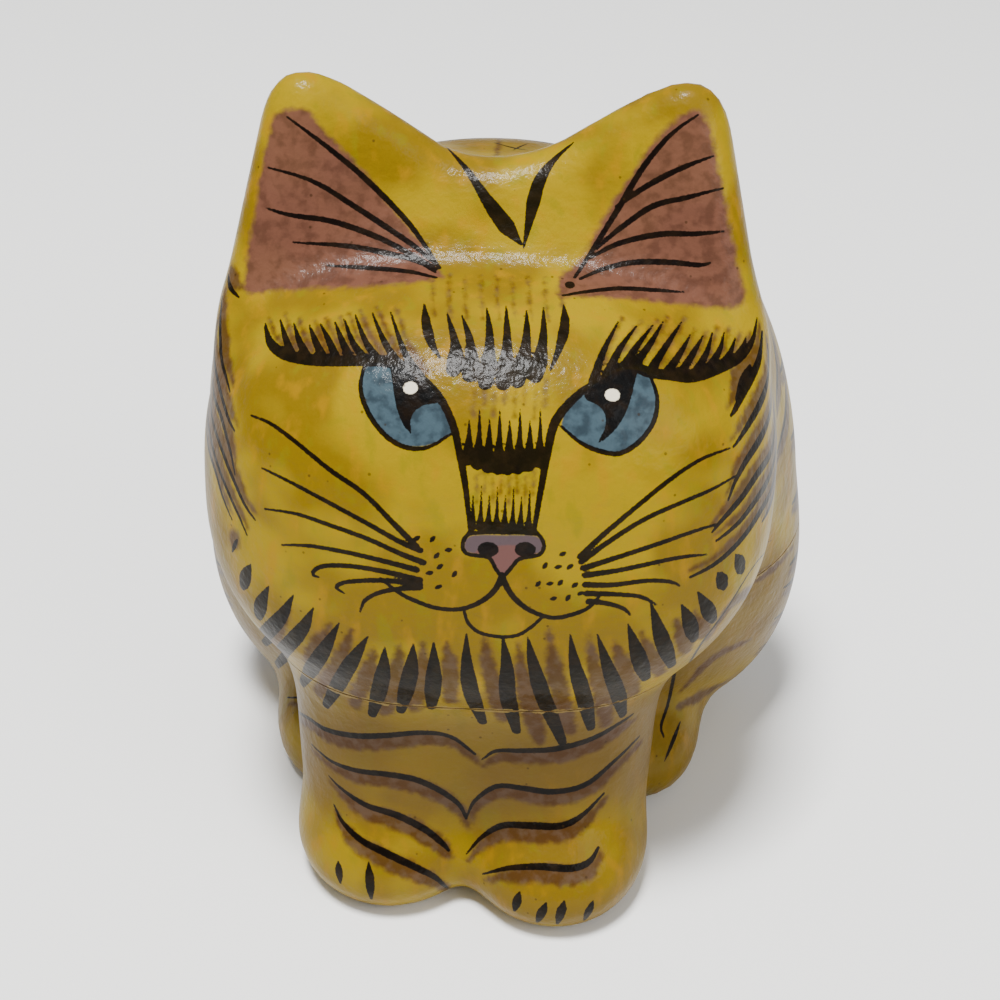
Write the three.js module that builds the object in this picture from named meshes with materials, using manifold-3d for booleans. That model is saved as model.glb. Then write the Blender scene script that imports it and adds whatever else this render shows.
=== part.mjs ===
// A lidded papier-mache box in the form of a crouching cat, in millimetres with +Z up.
// The head, ears and back lift off as the lid; the chest, haunches, paws and tail are the base.
// The cat looks along -Y. Its whole outer skin is one smooth field, shelled and cut at the seam.

import * as THREE from 'three';
import { TessellateModifier } from 'three/addons/modifiers/TessellateModifier.js';
import { mergeVertices } from 'three/addons/utils/BufferGeometryUtils.js';
import Module from 'manifold-3d';

// Driving dimensions
const HEIGHT = 127;            // from the floor to the tops of the ears
const SEAM_HEIGHT = 43;        // the level cut that parts the lid from the base
const SEAM_GAP = 0.3;          // the open crack between lid and base
const WALL = 3;                // papier-mache thickness
const COLLAR_WALL = 2;         // the strip inside the base that the lid locates on
const COLLAR_RISE = 4.5;       // how far the strip stands above the seam
const COLLAR_CLEARANCE = 0.6;  // between the strip and the inside of the lid
const LEDGE_DEPTH = 4;         // how far the strip reaches down inside the base

// Fineness of the faceted skins
const SKIN_FACETS = { ball: 6, edges: [9, 6.1] };
const LINING_FACETS = { ball: 5, edges: [12] };
const SPLIT_ROUNDS = 8;
const EVEN_ROUNDS = 3;
const EVEN_SHARE = 0.4;
const COLLAR_STEPS = 56;

// Small values for slopes, merged corners and the flat of the underside
const TINY = 1e-9;
const FAR = 1e3;
const PROBE = 0.02;
const MERGE = 1e-4;
const FLOOR_SNAP = 0.03;
const RAY_STEP = 2.5;
const HALVINGS = 18;
const PULLS = 3;
const LEAST_SLOPE = 0.25;
const NARROWEST = 0.3;

// The free form: centres, radii and corners are shares of the height
const ROUND_POWER = 2;
const HEAD = {
  centre: [0.003, -0.054, 0.507],
  radii: [0.357, 0.311, 0.289],
  power: 2.77,
  lean: -11.8,
  jaw: 0.19,
};
const NAPE = { centre: [0, 0.091, 0.499], radii: [0.366, 0.222, 0.377], power: 2.1 };
const BODY = { centre: [0.014, 0.091, 0.368], radii: [0.398, 0.259, 0.415], power: 2.2 };
const CHEST = { centre: [-0.008, -0.157, 0.220], radii: [0.197, 0.161, 0.283], power: 2.4 };
const HAUNCH = { centre: [0.237, 0.110, 0.258], radii: [0.178, 0.162, 0.250] };
const EAR = {
  tip: [0.256, 0.018, 1.100],
  inner: [-0.041, -0.019, 0.876],
  outer: [0.330, -0.115, 0.775],
  innerBack: [0.071, 0.126, 0.811],
  outerBack: [0.276, 0.189, 0.725],
  foot: 0.693,
  round: 0.071,
};
const LEG = { from: [0.107, -0.188, 0.283], to: [0.119, -0.228, 0.063], radii: [0.126, 0.106] };
const PAW = { centre: [0.108, -0.278, 0.055], radii: [0.114, 0.114, 0.079] };
const HIND_PAW = { centre: [0.213, -0.031, 0.055], radii: [0.087, 0.126, 0.087] };
const TAIL = { from: [0.100, 0.250, 0.070], to: [-0.190, 0.225, 0.060], radii: [0.058, 0.040] };

// Starting places of the rays that find the skin, as shares of the height
const HEART = { centre: [0, 0, 0.440], across: 0.10, back: 0.10, up: 0.20, down: 0.20 };

// Unevenness of handwork: the paws sit a little to the cat's right, and its left paw reaches forward
const PAW_DRIFT = -0.008;
const PAW_REACH = 0.012;

// Widths over which neighbouring masses run into each other, as shares of the height
const BLEND = {
  nape: 0.079, body: 0.035, chest: 0.055, ear: 0.063, haunch: 0.035, leg: 0.063, paw: 0.047, tail: 0.030,
};
const EDGE_AT_FLOOR = 0.016;

// Joins two signed distances with a soft seam of the given width
function blend(a, b, width) {
  const mix = Math.min(1, Math.max(0, 0.5 + (0.5 * (b - a)) / width));
  return b * (1 - mix) + a * mix - width * mix * (1 - mix);
}

// Keeps what lies inside both distances, with a rounded edge
function clip(a, b, width) {
  return -blend(-a, -b, width);
}

// A rounded mass; powers above two square its shoulders, lean tips it about X, jaw narrows its lower half
function mass({ centre, radii, power = ROUND_POWER, lean = 0, jaw = 0 }) {
  const [x, y, z] = centre.map((share) => share * HEIGHT);
  const [across, along, up] = radii.map((share) => share * HEIGHT);
  const cosine = Math.cos(THREE.MathUtils.degToRad(lean));
  const sine = Math.sin(THREE.MathUtils.degToRad(lean));
  return (p) => {
    const forward = (p.y - y) * cosine + (p.z - z) * sine;
    const upward = (p.z - z) * cosine - (p.y - y) * sine;
    const below = Math.min(upward / up, 0);
    const narrow = Math.max(1 - jaw * below * below, NARROWEST);
    const a = Math.abs(p.x - x) / (across * narrow) + TINY;
    const b = Math.abs(forward) / along + TINY;
    const c = Math.abs(upward) / up + TINY;
    const size = (a ** power + b ** power + c ** power) ** (1 / power);
    const slopeX = (a / size) ** (power - 1) / across;
    const slopeY = (b / size) ** (power - 1) / along;
    const slopeZ = (c / size) ** (power - 1) / up;
    return (size - 1) / Math.sqrt(slopeX * slopeX + slopeY * slopeY + slopeZ * slopeZ);
  };
}

// A limb that tapers from one ball to another
function limb({ from, to, radii }) {
  const start = new THREE.Vector3(...from).multiplyScalar(HEIGHT);
  const span = new THREE.Vector3(...to).multiplyScalar(HEIGHT).sub(start);
  const length = span.lengthSq();
  const offset = new THREE.Vector3();
  return (p) => {
    const along = THREE.MathUtils.clamp(offset.subVectors(p, start).dot(span) / length, 0, 1);
    const radius = THREE.MathUtils.lerp(radii[0], radii[1], along) * HEIGHT;
    return offset.addScaledVector(span, -along).length() - radius;
  };
}

// One ear: a rounded four-sided wedge that ends inside the head
function ear(side) {
  const corner = ([x, y, z]) => new THREE.Vector3(x * side, y, z).multiplyScalar(HEIGHT);
  const tip = corner(EAR.tip);
  const ring = [EAR.inner, EAR.outer, EAR.outerBack, EAR.innerBack].map(corner);
  const [front, outside, back, inside] = ring.map((from, index) => {
    const plane = new THREE.Plane().setFromCoplanarPoints(from, ring[(index + 1) % ring.length], tip);
    return side > 0 ? plane : plane.negate();
  });
  const round = EAR.round * HEIGHT;
  return (p) => {
    const fore = clip(front.distanceToPoint(p), outside.distanceToPoint(p), round);
    const rear = clip(back.distanceToPoint(p), inside.distanceToPoint(p), round);
    return clip(clip(fore, rear, round), EAR.foot * HEIGHT - p.z, round);
  };
}

// Mirrors a place to one side of the cat and adds the drift of the hand
function onSide([x, y, z], side, drift = 0, reach = 0) {
  return [x * side + drift, y - reach * side, z];
}

// The masses of one side, each with the width over which it runs into the rest
function sideMasses(side) {
  const haunch = onSide(HAUNCH.centre, side, BODY.centre[0]);
  const legTop = onSide(LEG.from, side, PAW_DRIFT);
  const legFoot = onSide(LEG.to, side, PAW_DRIFT);
  return [
    [ear(side), BLEND.ear],
    [mass({ ...HAUNCH, centre: haunch }), BLEND.haunch],
    [limb({ from: legTop, to: legFoot, radii: LEG.radii }), BLEND.leg],
  ];
}

function pawMasses(side) {
  const paw = onSide(PAW.centre, side, PAW_DRIFT, PAW_REACH);
  const hindPaw = onSide(HIND_PAW.centre, side);
  return [
    [mass({ ...PAW, centre: paw }), BLEND.paw],
    [mass({ ...HIND_PAW, centre: hindPaw }), BLEND.paw],
  ];
}

// Signed distance to a set of masses run together: negative inside, positive outside
function fieldOf(masses) {
  return (p) => {
    const whole = masses.reduce((sum, [distance, width]) => blend(sum, distance(p), width * HEIGHT), FAR);
    return clip(whole, -p.z, EDGE_AT_FLOOR * HEIGHT);
  };
}

const TRUNK = [
  [mass(HEAD), BLEND.nape],
  [mass(NAPE), BLEND.nape],
  [mass(BODY), BLEND.body],
  [mass(CHEST), BLEND.chest],
  ...sideMasses(-1),
  ...sideMasses(1),
];

// The lining follows the trunk alone, so the paws and tail are solid
const trunkField = fieldOf(TRUNK);
const catField = fieldOf([...TRUNK, ...pawMasses(-1), ...pawMasses(1), [limb(TAIL), BLEND.tail]]);

// Value and outward slope of a field at a point
function slopeAt(field, p) {
  const here = field(p);
  const probe = new THREE.Vector3();
  const slope = new THREE.Vector3(
    field(probe.set(p.x + PROBE, p.y, p.z)) - here,
    field(probe.set(p.x, p.y + PROBE, p.z)) - here,
    field(probe.set(p.x, p.y, p.z + PROBE)) - here,
  ).divideScalar(PROBE);
  return { here, slope };
}

// Outermost point on a ray where a field crosses the given depth below its skin
function outermost(field, origin, direction, depth) {
  const probe = new THREE.Vector3();
  const at = (distance) => field(probe.copy(origin).addScaledVector(direction, distance)) + depth;
  let far = HEIGHT;
  while (far > RAY_STEP && at(far - RAY_STEP) > 0) far -= RAY_STEP;
  let near = far - RAY_STEP;
  for (let halving = 0; halving < HALVINGS; halving += 1) {
    const middle = (near + far) / 2;
    if (at(middle) < 0) near = middle;
    else far = middle;
  }
  return origin.clone().addScaledVector(direction, (near + far) / 2);
}

// For each vertex, the vertices that share an edge with it
function neighboursOf(index, count) {
  const rings = Array.from({ length: count }, () => new Set());
  for (let face = 0; face < index.count; face += 3) {
    const corners = [0, 1, 2].map((corner) => index.getX(face + corner));
    corners.forEach((corner, place) => {
      rings[corner].add(corners[(place + 1) % 3]);
      rings[corner].add(corners[(place + 2) % 3]);
    });
  }
  return rings.map((ring) => [...ring]);
}

// Where the ray in a given direction starts: from the heart of the cat towards its ears or paws
function rayStart(direction) {
  const rise = direction.z > 0 ? HEART.up : HEART.down;
  return new THREE.Vector3(
    HEART.across * direction.x,
    HEART.centre[1] + HEART.back * direction.z,
    HEART.centre[2] + rise * direction.z,
  ).multiplyScalar(HEIGHT);
}

// Pulls a point along the slope on to the surface the given depth below the skin
function settle(field, point, depth) {
  for (let pull = 0; pull < PULLS; pull += 1) {
    const { here, slope } = slopeAt(field, point);
    point.addScaledVector(slope, -(here + depth) / Math.max(slope.lengthSq(), LEAST_SLOPE));
  }
  return point;
}

// Evens out the triangles without leaving the surface the given depth below the skin
function even(field, surface, depth) {
  const position = surface.getAttribute('position');
  const neighbours = neighboursOf(surface.index, position.count);
  let points = neighbours.map((_, i) => new THREE.Vector3().fromBufferAttribute(position, i));
  for (let round = 0; round < EVEN_ROUNDS; round += 1) {
    points = points.map((point, i) => {
      const shift = new THREE.Vector3();
      let total = 0;
      neighbours[i].forEach((n) => {
        const pull = points[n].distanceToSquared(point);
        shift.addScaledVector(points[n], pull).addScaledVector(point, -pull);
        total += pull;
      });
      shift.divideScalar(total);
      const normal = slopeAt(field, point).slope.normalize();
      shift.addScaledVector(normal, -shift.dot(normal));
      return settle(field, point.clone().addScaledVector(shift, EVEN_SHARE), depth);
    });
  }
  points.forEach((point, i) => {
    const onFloor = Math.abs(point.z) < FLOOR_SNAP;
    position.setXYZ(i, point.x, point.y, onFloor ? 0 : point.z);
  });
  return surface;
}

// Keeps only the places and the faces of a geometry, with shared corners
function bare(geometry) {
  geometry.deleteAttribute('normal');
  geometry.deleteAttribute('uv');
  return mergeVertices(geometry, MERGE);
}

// A ball shrunk on to the surface the given depth below the skin, its long edges split
function wrap(field, depth, facets) {
  const ball = bare(new THREE.IcosahedronGeometry(1, facets.ball));
  const position = ball.getAttribute('position');
  for (let i = 0; i < position.count; i += 1) {
    const direction = new THREE.Vector3().fromBufferAttribute(position, i).normalize();
    const point = outermost(field, rayStart(direction), direction, depth);
    position.setXYZ(i, point.x, point.y, point.z);
  }
  return facets.edges.reduce((surface, edge) => {
    const split = new TessellateModifier(edge, SPLIT_ROUNDS).modify(surface);
    return even(field, bare(split), depth);
  }, even(field, ball, depth));
}

// Outline of the box's section at the seam, the given depth below the skin
function seamOutline(depth) {
  const middle = new THREE.Vector3(0, 0, SEAM_HEIGHT);
  return Array.from({ length: COLLAR_STEPS }, (_, i) => {
    const angle = (2 * Math.PI * i) / COLLAR_STEPS;
    const direction = new THREE.Vector3(Math.cos(angle), Math.sin(angle), 0);
    const point = outermost(trunkField, middle, direction, depth);
    return new THREE.Vector2(point.x, point.y);
  });
}

const wasm = await Module();
wasm.setup();

// Turns a closed geometry into a solid for joining and cutting
function solid(geometry) {
  const merged = bare(geometry);
  return new wasm.Manifold(new wasm.Mesh({
    numProp: 3,
    vertProperties: new Float32Array(merged.getAttribute('position').array),
    triVerts: new Uint32Array(merged.index.array),
  }));
}

// Turns a solid back into a geometry
function geometryOf(manifold) {
  const { vertProperties, triVerts } = manifold.getMesh();
  const geometry = new THREE.BufferGeometry();
  geometry.setAttribute('position', new THREE.Float32BufferAttribute(vertProperties, 3));
  geometry.setIndex(Array.from(triVerts));
  geometry.computeVertexNormals();
  return geometry;
}

// A block wider than the cat, between two levels
function slab(bottom, top) {
  const width = 3 * HEIGHT;
  const block = new THREE.BoxGeometry(width, width, top - bottom);
  return solid(block.translate(0, 0, (bottom + top) / 2));
}

// An upright prism of the seam's outline, between two levels
function prism(depth, bottom, top) {
  const outline = new THREE.Shape(seamOutline(depth));
  const block = new THREE.ExtrudeGeometry(outline, { depth: top - bottom, bevelEnabled: false });
  return solid(block.translate(0, 0, bottom));
}

const skin = solid(wrap(catField, 0, SKIN_FACETS));
const lining = solid(wrap(trunkField, WALL, LINING_FACETS));
const lidTop = 2 * HEIGHT;
const lidFloor = SEAM_HEIGHT + SEAM_GAP / 2;
const baseTop = SEAM_HEIGHT - SEAM_GAP / 2;
const ledge = baseTop - LEDGE_DEPTH;
const collarTop = SEAM_HEIGHT + COLLAR_RISE;
const collarDepth = WALL + COLLAR_CLEARANCE;
const boreDepth = collarDepth + COLLAR_WALL;

// The lid: everything above the seam, hollow to the lining
function makeLid() {
  return skin.intersect(slab(lidFloor, lidTop)).subtract(lining);
}

// The base: everything below the seam, hollow, with the collar standing out of it
function makeBase() {
  const lidLining = solid(wrap(trunkField, collarDepth, LINING_FACETS));
  const collar = prism(collarDepth, ledge, collarTop).intersect(lidLining);
  const bore = prism(boreDepth, ledge, collarTop + WALL);
  const hollow = lining.intersect(slab(-HEIGHT, ledge)).add(bore.intersect(lining));
  return skin.intersect(slab(-HEIGHT, baseTop)).add(collar).subtract(hollow);
}

// Glossy lacquered paint over papier-mache
function lacquer(color) {
  return new THREE.MeshStandardMaterial({ color, roughness: 0.25, metalness: 0 });
}

function makePiece(name, manifold, material) {
  const mesh = new THREE.Mesh(geometryOf(manifold), material);
  mesh.name = name;
  return mesh;
}

const cat = new THREE.Group();
cat.add(makePiece('lid', makeLid(), lacquer('#b8921f')));
cat.add(makePiece('base', makeBase(), lacquer('#a5801f')));

// The origin is on the floor, under the middle of the cat's box
const middle = new THREE.Box3().setFromObject(cat).getCenter(new THREE.Vector3());
cat.position.set(-middle.x, -middle.y, 0);
cat.updateMatrixWorld(true);

export default cat;
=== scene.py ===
"""A papier-mache cat box in lacquered tabby paint, dressed over its CAD frame.

The cat's skin is one blended form in millimetres. It is wrapped with a fine mesh, parted at the
seam into lid and base, hollowed, and painted stroke by stroke on its surface.
"""

import logging
import math
from dataclasses import dataclass, field
from enum import Enum
from typing import Any, Sequence

import bmesh
import bpy
import numpy as np
from mathutils import Matrix, Vector


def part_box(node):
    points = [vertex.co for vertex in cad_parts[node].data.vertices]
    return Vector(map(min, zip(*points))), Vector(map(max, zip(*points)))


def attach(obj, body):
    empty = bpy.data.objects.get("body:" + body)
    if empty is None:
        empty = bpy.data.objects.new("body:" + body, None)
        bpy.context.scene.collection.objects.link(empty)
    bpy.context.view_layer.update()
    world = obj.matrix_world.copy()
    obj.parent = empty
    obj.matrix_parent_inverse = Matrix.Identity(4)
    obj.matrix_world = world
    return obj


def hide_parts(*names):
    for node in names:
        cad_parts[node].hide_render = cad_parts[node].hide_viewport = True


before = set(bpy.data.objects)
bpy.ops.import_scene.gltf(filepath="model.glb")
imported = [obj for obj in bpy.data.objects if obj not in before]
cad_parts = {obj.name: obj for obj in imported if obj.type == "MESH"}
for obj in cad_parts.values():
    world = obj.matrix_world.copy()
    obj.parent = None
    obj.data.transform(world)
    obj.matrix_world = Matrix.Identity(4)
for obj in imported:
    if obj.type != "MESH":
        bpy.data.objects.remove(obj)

logging.basicConfig(level=logging.INFO, format="%(message)s")
log = logging.getLogger("cat_box")

MM = 0.001

# The form's own origin, seen from the frame's, in mm
FORM_IN_FRAME = np.array([-1.781, 3.323, 0.0])

# Sizes of the box in mm, as in the CAD frame
HEIGHT = 127.0
SEAM_HEIGHT = 43.0
SEAM_GAP = 0.3
WALL = 3.0
COLLAR_WALL = 2.0
COLLAR_RISE = 4.5
COLLAR_CLEARANCE = 0.6
LEDGE_DEPTH = 4.0
EDGE_AT_FLOOR = 0.016

# Small values of the numerical work, in mm where they are lengths
TINY = 1e-9
FAR = 1000.0
PROBE = 0.02
RAY_STEP = 2.5
HALVINGS = 14
MARCHES = 160
MARCH_SHARE = 0.7
LEAST_MARCH = 0.05
PULLS = 3
LEAST_SLOPE = 0.25
NARROWEST = 0.3
ON_SKIN = -1.0
ON_LEVEL = 0.002

Points = np.ndarray
Path = tuple[tuple[float, float], ...]


def soft_join(first: Points, second: Points, width: float) -> Points:
    """Joins two signed distances with a soft seam.

    Args:
        first: distances to the one mass.
        second: distances to the other.
        width: how wide the two run into each other.

    Returns:
        The distances to both together.
    """
    mix = np.clip(0.5 + 0.5 * (second - first) / width, 0.0, 1.0)
    return second * (1.0 - mix) + first * mix - width * mix * (1.0 - mix)


def soft_cut(first: Points, second: Points, width: float) -> Points:
    """Keeps what lies inside both distances, with an edge rounded over the given width."""
    return -soft_join(-first, -second, width)


@dataclass(frozen=True)
class Mass:
    """A rounded mass; its place and radii are shares of the height.

    Powers above two square its shoulders, lean tips it about X in degrees, and jaw narrows its
    lower half.
    """

    centre: tuple[float, float, float]
    radii: tuple[float, float, float]
    blend: float
    power: float = 2.0
    lean: float = 0.0
    jaw: float = 0.0

    def distance(self, points: Points) -> Points:
        """Returns about how far each point is from the mass, in mm, negative inside."""
        offset = points - np.array(self.centre) * HEIGHT
        cosine, sine = math.cos(math.radians(self.lean)), math.sin(math.radians(self.lean))
        forward = offset[:, 1] * cosine + offset[:, 2] * sine
        upward = offset[:, 2] * cosine - offset[:, 1] * sine
        radii = np.array(self.radii) * HEIGHT
        below = np.minimum(upward / radii[2], 0.0)
        across = offset[:, 0] / np.maximum(1.0 - self.jaw * below * below, NARROWEST)
        ratios = np.abs(np.stack([across, forward, upward], 1)) / radii + TINY
        size = (ratios**self.power).sum(1) ** (1.0 / self.power)
        slope = (ratios / size[:, None]) ** (self.power - 1.0) / radii
        return (size - 1.0) / np.sqrt((slope * slope).sum(1))


@dataclass(frozen=True)
class Limb:
    """A limb that tapers from one ball to another; places and radii are shares of the height."""

    start: tuple[float, float, float]
    end: tuple[float, float, float]
    radii: tuple[float, float]
    blend: float

    def distance(self, points: Points) -> Points:
        """Returns how far each point is from the limb, in mm, negative inside."""
        start = np.array(self.start) * HEIGHT
        span = np.array(self.end) * HEIGHT - start
        along = np.clip((points - start) @ span / (span @ span), 0.0, 1.0)
        radius = (self.radii[0] + (self.radii[1] - self.radii[0]) * along) * HEIGHT
        return np.linalg.norm(points - start - along[:, None] * span, axis=1) - radius


@dataclass(frozen=True)
class Ear:
    """One ear: a rounded four-sided wedge that ends inside the head, in shares of the height."""

    side: int
    blend: float = 0.063
    tip: tuple[float, float, float] = (0.256, 0.018, 1.100)
    inner: tuple[float, float, float] = (-0.041, -0.019, 0.876)
    outer: tuple[float, float, float] = (0.330, -0.115, 0.775)
    outer_back: tuple[float, float, float] = (0.276, 0.189, 0.725)
    inner_back: tuple[float, float, float] = (0.071, 0.126, 0.811)
    foot: float = 0.693
    rounding: float = 0.071

    def distance(self, points: Points) -> Points:
        """Returns about how far each point is from the ear, in mm, negative inside."""
        flip = np.array([self.side, 1.0, 1.0]) * HEIGHT
        tip = np.array(self.tip) * flip
        corners = (self.inner, self.outer, self.outer_back, self.inner_back)
        ring = [np.array(corner) * flip for corner in corners]
        planes = []
        for index, start in enumerate(ring):
            normal = np.cross(ring[(index + 1) % len(ring)] - start, tip - start) * self.side
            planes.append((points - start) @ (normal / np.linalg.norm(normal)))
        front, outside, back, inside = planes
        width = self.rounding * HEIGHT
        wedge = soft_cut(soft_cut(front, outside, width), soft_cut(back, inside, width), width)
        return soft_cut(wedge, self.foot * HEIGHT - points[:, 2], width)


@dataclass(frozen=True)
class CatForm:
    """The cat's form: a trunk of blended masses, and the paws and tail laid on to it."""

    body_drift: float = 0.014
    paw_drift: float = -0.008
    paw_reach: float = 0.012
    heart: tuple[float, float, float] = (0.0, 0.0, 0.440)
    heart_spread: tuple[float, float, float] = (0.10, 0.10, 0.20)

    def trunk(self) -> list[Any]:
        """Returns the masses that the lining follows."""
        masses: list[Any] = [
            Mass((0.003, -0.054, 0.507), (0.357, 0.311, 0.289), 0.079, 2.77, -11.8, 0.19),
            Mass((0.000, 0.091, 0.499), (0.366, 0.222, 0.377), 0.079, 2.1),
            Mass((0.014, 0.091, 0.368), (0.398, 0.259, 0.415), 0.035, 2.2),
            Mass((-0.008, -0.157, 0.220), (0.197, 0.161, 0.283), 0.055, 2.4),
        ]
        for side in (-1, 1):
            masses += [
                Ear(side),
                Mass((0.237 * side + self.body_drift, 0.110, 0.258), (0.178, 0.162, 0.250), 0.035),
                Limb(
                    (0.107 * side + self.paw_drift, -0.188, 0.283),
                    (0.119 * side + self.paw_drift, -0.228, 0.063),
                    (0.126, 0.106),
                    0.063,
                ),
            ]
        return masses

    def feet(self) -> list[Any]:
        """Returns the paws and the tail, which are solid."""
        masses: list[Any] = []
        for side in (-1, 1):
            forward = -0.278 - self.paw_reach * side
            masses += [
                Mass((0.108 * side + self.paw_drift, forward, 0.055), (0.114, 0.114, 0.079), 0.047),
                Mass((0.213 * side, -0.031, 0.055), (0.087, 0.126, 0.087), 0.047),
            ]
        return masses + [Limb((0.100, 0.250, 0.070), (-0.190, 0.225, 0.060), (0.058, 0.040), 0.030)]

    def distance(self, points: Points, whole: bool = True) -> Points:
        """Returns about how far points are from the surface.

        Args:
            points: places in mm.
            whole: with the paws and tail, or the trunk alone.

        Returns:
            Distances in mm, negative inside.
        """
        total = np.full(len(points), FAR)
        for mass in self.trunk() + (self.feet() if whole else []):
            total = soft_join(total, mass.distance(points), mass.blend * HEIGHT)
        return soft_cut(total, -points[:, 2], EDGE_AT_FLOOR * HEIGHT)

    def slope(self, points: Points, whole: bool = True) -> tuple[Points, Points]:
        """Returns the distances at points and their slopes."""
        here = self.distance(points, whole)
        steps = [self.distance(points + axis * PROBE, whole) - here for axis in np.eye(3)]
        return here, np.stack(steps, 1) / PROBE

    def outermost(self, starts: Points, directions: Points, depth: float, whole: bool = True) -> Points:
        """Finds where rays leave the surface for the last time.

        Args:
            starts: starts of the rays, inside the form.
            directions: their unit directions.
            depth: how deep below the skin the wanted surface lies.
            whole: with the paws and tail, or the trunk alone.

        Returns:
            The places on the surface.
        """
        far = np.full(len(starts), HEIGHT)
        outside = np.ones(len(starts), bool)
        while outside.any():
            rows = np.nonzero(outside)[0]
            probe = starts[rows] + directions[rows] * (far[rows] - RAY_STEP)[:, None]
            clear = (self.distance(probe, whole) + depth > 0) & (far[rows] > RAY_STEP)
            far[rows[clear]] -= RAY_STEP
            outside[rows[~clear]] = False
        near = far - RAY_STEP
        for _ in range(HALVINGS):
            middle = (near + far) / 2
            inside = self.distance(starts + directions * middle[:, None], whole) + depth < 0
            near = np.where(inside, middle, near)
            far = np.where(inside, far, middle)
        return starts + directions * ((near + far) / 2)[:, None]

    def first_hit(self, starts: Points, directions: Points) -> Points:
        """Marches rays from outside on to the skin; a ray that misses ends nearest to it."""
        travel = np.zeros(len(starts))
        best = np.full(len(starts), FAR)
        place = travel.copy()
        for _ in range(MARCHES):
            gap = self.distance(starts + directions * travel[:, None])
            closer = gap < best
            best = np.where(closer, gap, best)
            place = np.where(closer, travel, place)
            travel = travel + np.where(best < PROBE, 0.0, np.maximum(gap * MARCH_SHARE, LEAST_MARCH))
        return starts + directions * place[:, None]

    def settle(
        self, points: Points, depth: float = 0.0, whole: bool = True, level: Points | None = None
    ) -> Points:
        """Pulls points along the slope on to the surface the given depth below the skin.

        Args:
            points: places near the surface.
            depth: how deep below the skin the wanted surface lies.
            whole: with the paws and tail, or the trunk alone.
            level: which points keep their height.

        Returns:
            The places on the surface.
        """
        for _ in range(PULLS):
            here, slope = self.slope(points, whole)
            if level is not None:
                slope[level, 2] = 0.0
            size = np.maximum((slope * slope).sum(1), LEAST_SLOPE)
            points = points - slope * ((here + depth) / size)[:, None]
        return points


@dataclass(frozen=True)
class Board:
    """A flat board that the paint is drawn on and carried straight back from, on to the skin."""

    right: tuple[float, float, float]
    up: tuple[float, float, float]

    def into(self) -> Points:
        """Returns the unit direction from the board into the cat."""
        return np.cross(self.up, self.right)

    def flat(self, points: Points) -> Points:
        """Returns the places of points on the board."""
        return np.stack([points @ np.array(self.right), points @ np.array(self.up)], 1)

    def carry(self, form: CatForm, places: Points) -> Points:
        """Returns the places on the skin behind places on the board."""
        starts = places[:, :1] * np.array(self.right) + places[:, 1:] * np.array(self.up)
        starts = starts - self.into() * 1.5 * HEIGHT
        return form.first_hit(starts, np.tile(self.into(), (len(places), 1)))


FACE_TILT = math.radians(34.0)
BACK_TILT = math.radians(25.0)
CHEEK_TURN = math.radians(60.0)


class Side(Enum):
    """The boards that the cat is painted from."""

    FACE = Board((1.0, 0.0, 0.0), (0.0, math.sin(FACE_TILT), math.cos(FACE_TILT)))
    LEFT = Board((0.0, 1.0, 0.0), (0.0, 0.0, 1.0))
    RIGHT = Board((0.0, -1.0, 0.0), (0.0, 0.0, 1.0))
    CHEEK_LEFT = Board((math.cos(CHEEK_TURN), math.sin(CHEEK_TURN), 0.0), (0.0, 0.0, 1.0))
    CHEEK_RIGHT = Board((math.cos(CHEEK_TURN), -math.sin(CHEEK_TURN), 0.0), (0.0, 0.0, 1.0))
    BACK = Board((-1.0, 0.0, 0.0), (0.0, -math.sin(BACK_TILT), math.cos(BACK_TILT)))


class Coat(Enum):
    """The layers of paint, in the order they were put on."""

    WASH = "brown_wash"
    EAR = "ear_pink"
    IRIS = "iris_blue"
    NOSE = "nose_pink"
    GREY = "nose_grey"
    INK = "black_ink"
    GLINT = "eye_glint"


@dataclass(frozen=True)
class Stroke:
    """One pull of the brush: a path on a board in mm, with widths spread evenly along it."""

    path: Path
    widths: tuple[float, ...]
    coat: Coat = Coat.INK
    side: Side = Side.FACE


@dataclass(frozen=True)
class Patch:
    """A filled shape: its outline on a board in mm."""

    outline: Path
    coat: Coat
    side: Side = Side.FACE


def curve_through(path: Points, step: float, closed: bool = False) -> tuple[Points, Points]:
    """Draws a smooth curve through the points of a path.

    Args:
        path: the points, in two dimensions.
        step: how far apart the new points lie, in mm.
        closed: whether the curve returns to its start.

    Returns:
        The new points, and the share of the path at each.
    """
    if closed:
        ring = np.vstack([path[-1:], path, path[:2]])
    else:
        ring = np.vstack([2 * path[:1] - path[1:2], path, 2 * path[-1:] - path[-2:-1]])
    pieces = []
    shares = []
    spans = len(ring) - 3
    for span in range(spans):
        a, b, c, d = ring[span : span + 4]
        count = max(2, int(np.linalg.norm(c - b) / step) + 1)
        t = np.linspace(0.0, 1.0, count, endpoint=False)[:, None]
        square, cube = 2 * a - 5 * b + 4 * c - d, 3 * b - a - 3 * c + d
        pieces.append(0.5 * (2 * b + (c - a) * t + square * t**2 + cube * t**3))
        shares.append((span + t[:, 0]) / spans)
    if not closed:
        pieces.append(path[-1:])
        shares.append(np.ones(1))
    return np.vstack(pieces), np.concatenate(shares)


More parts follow.
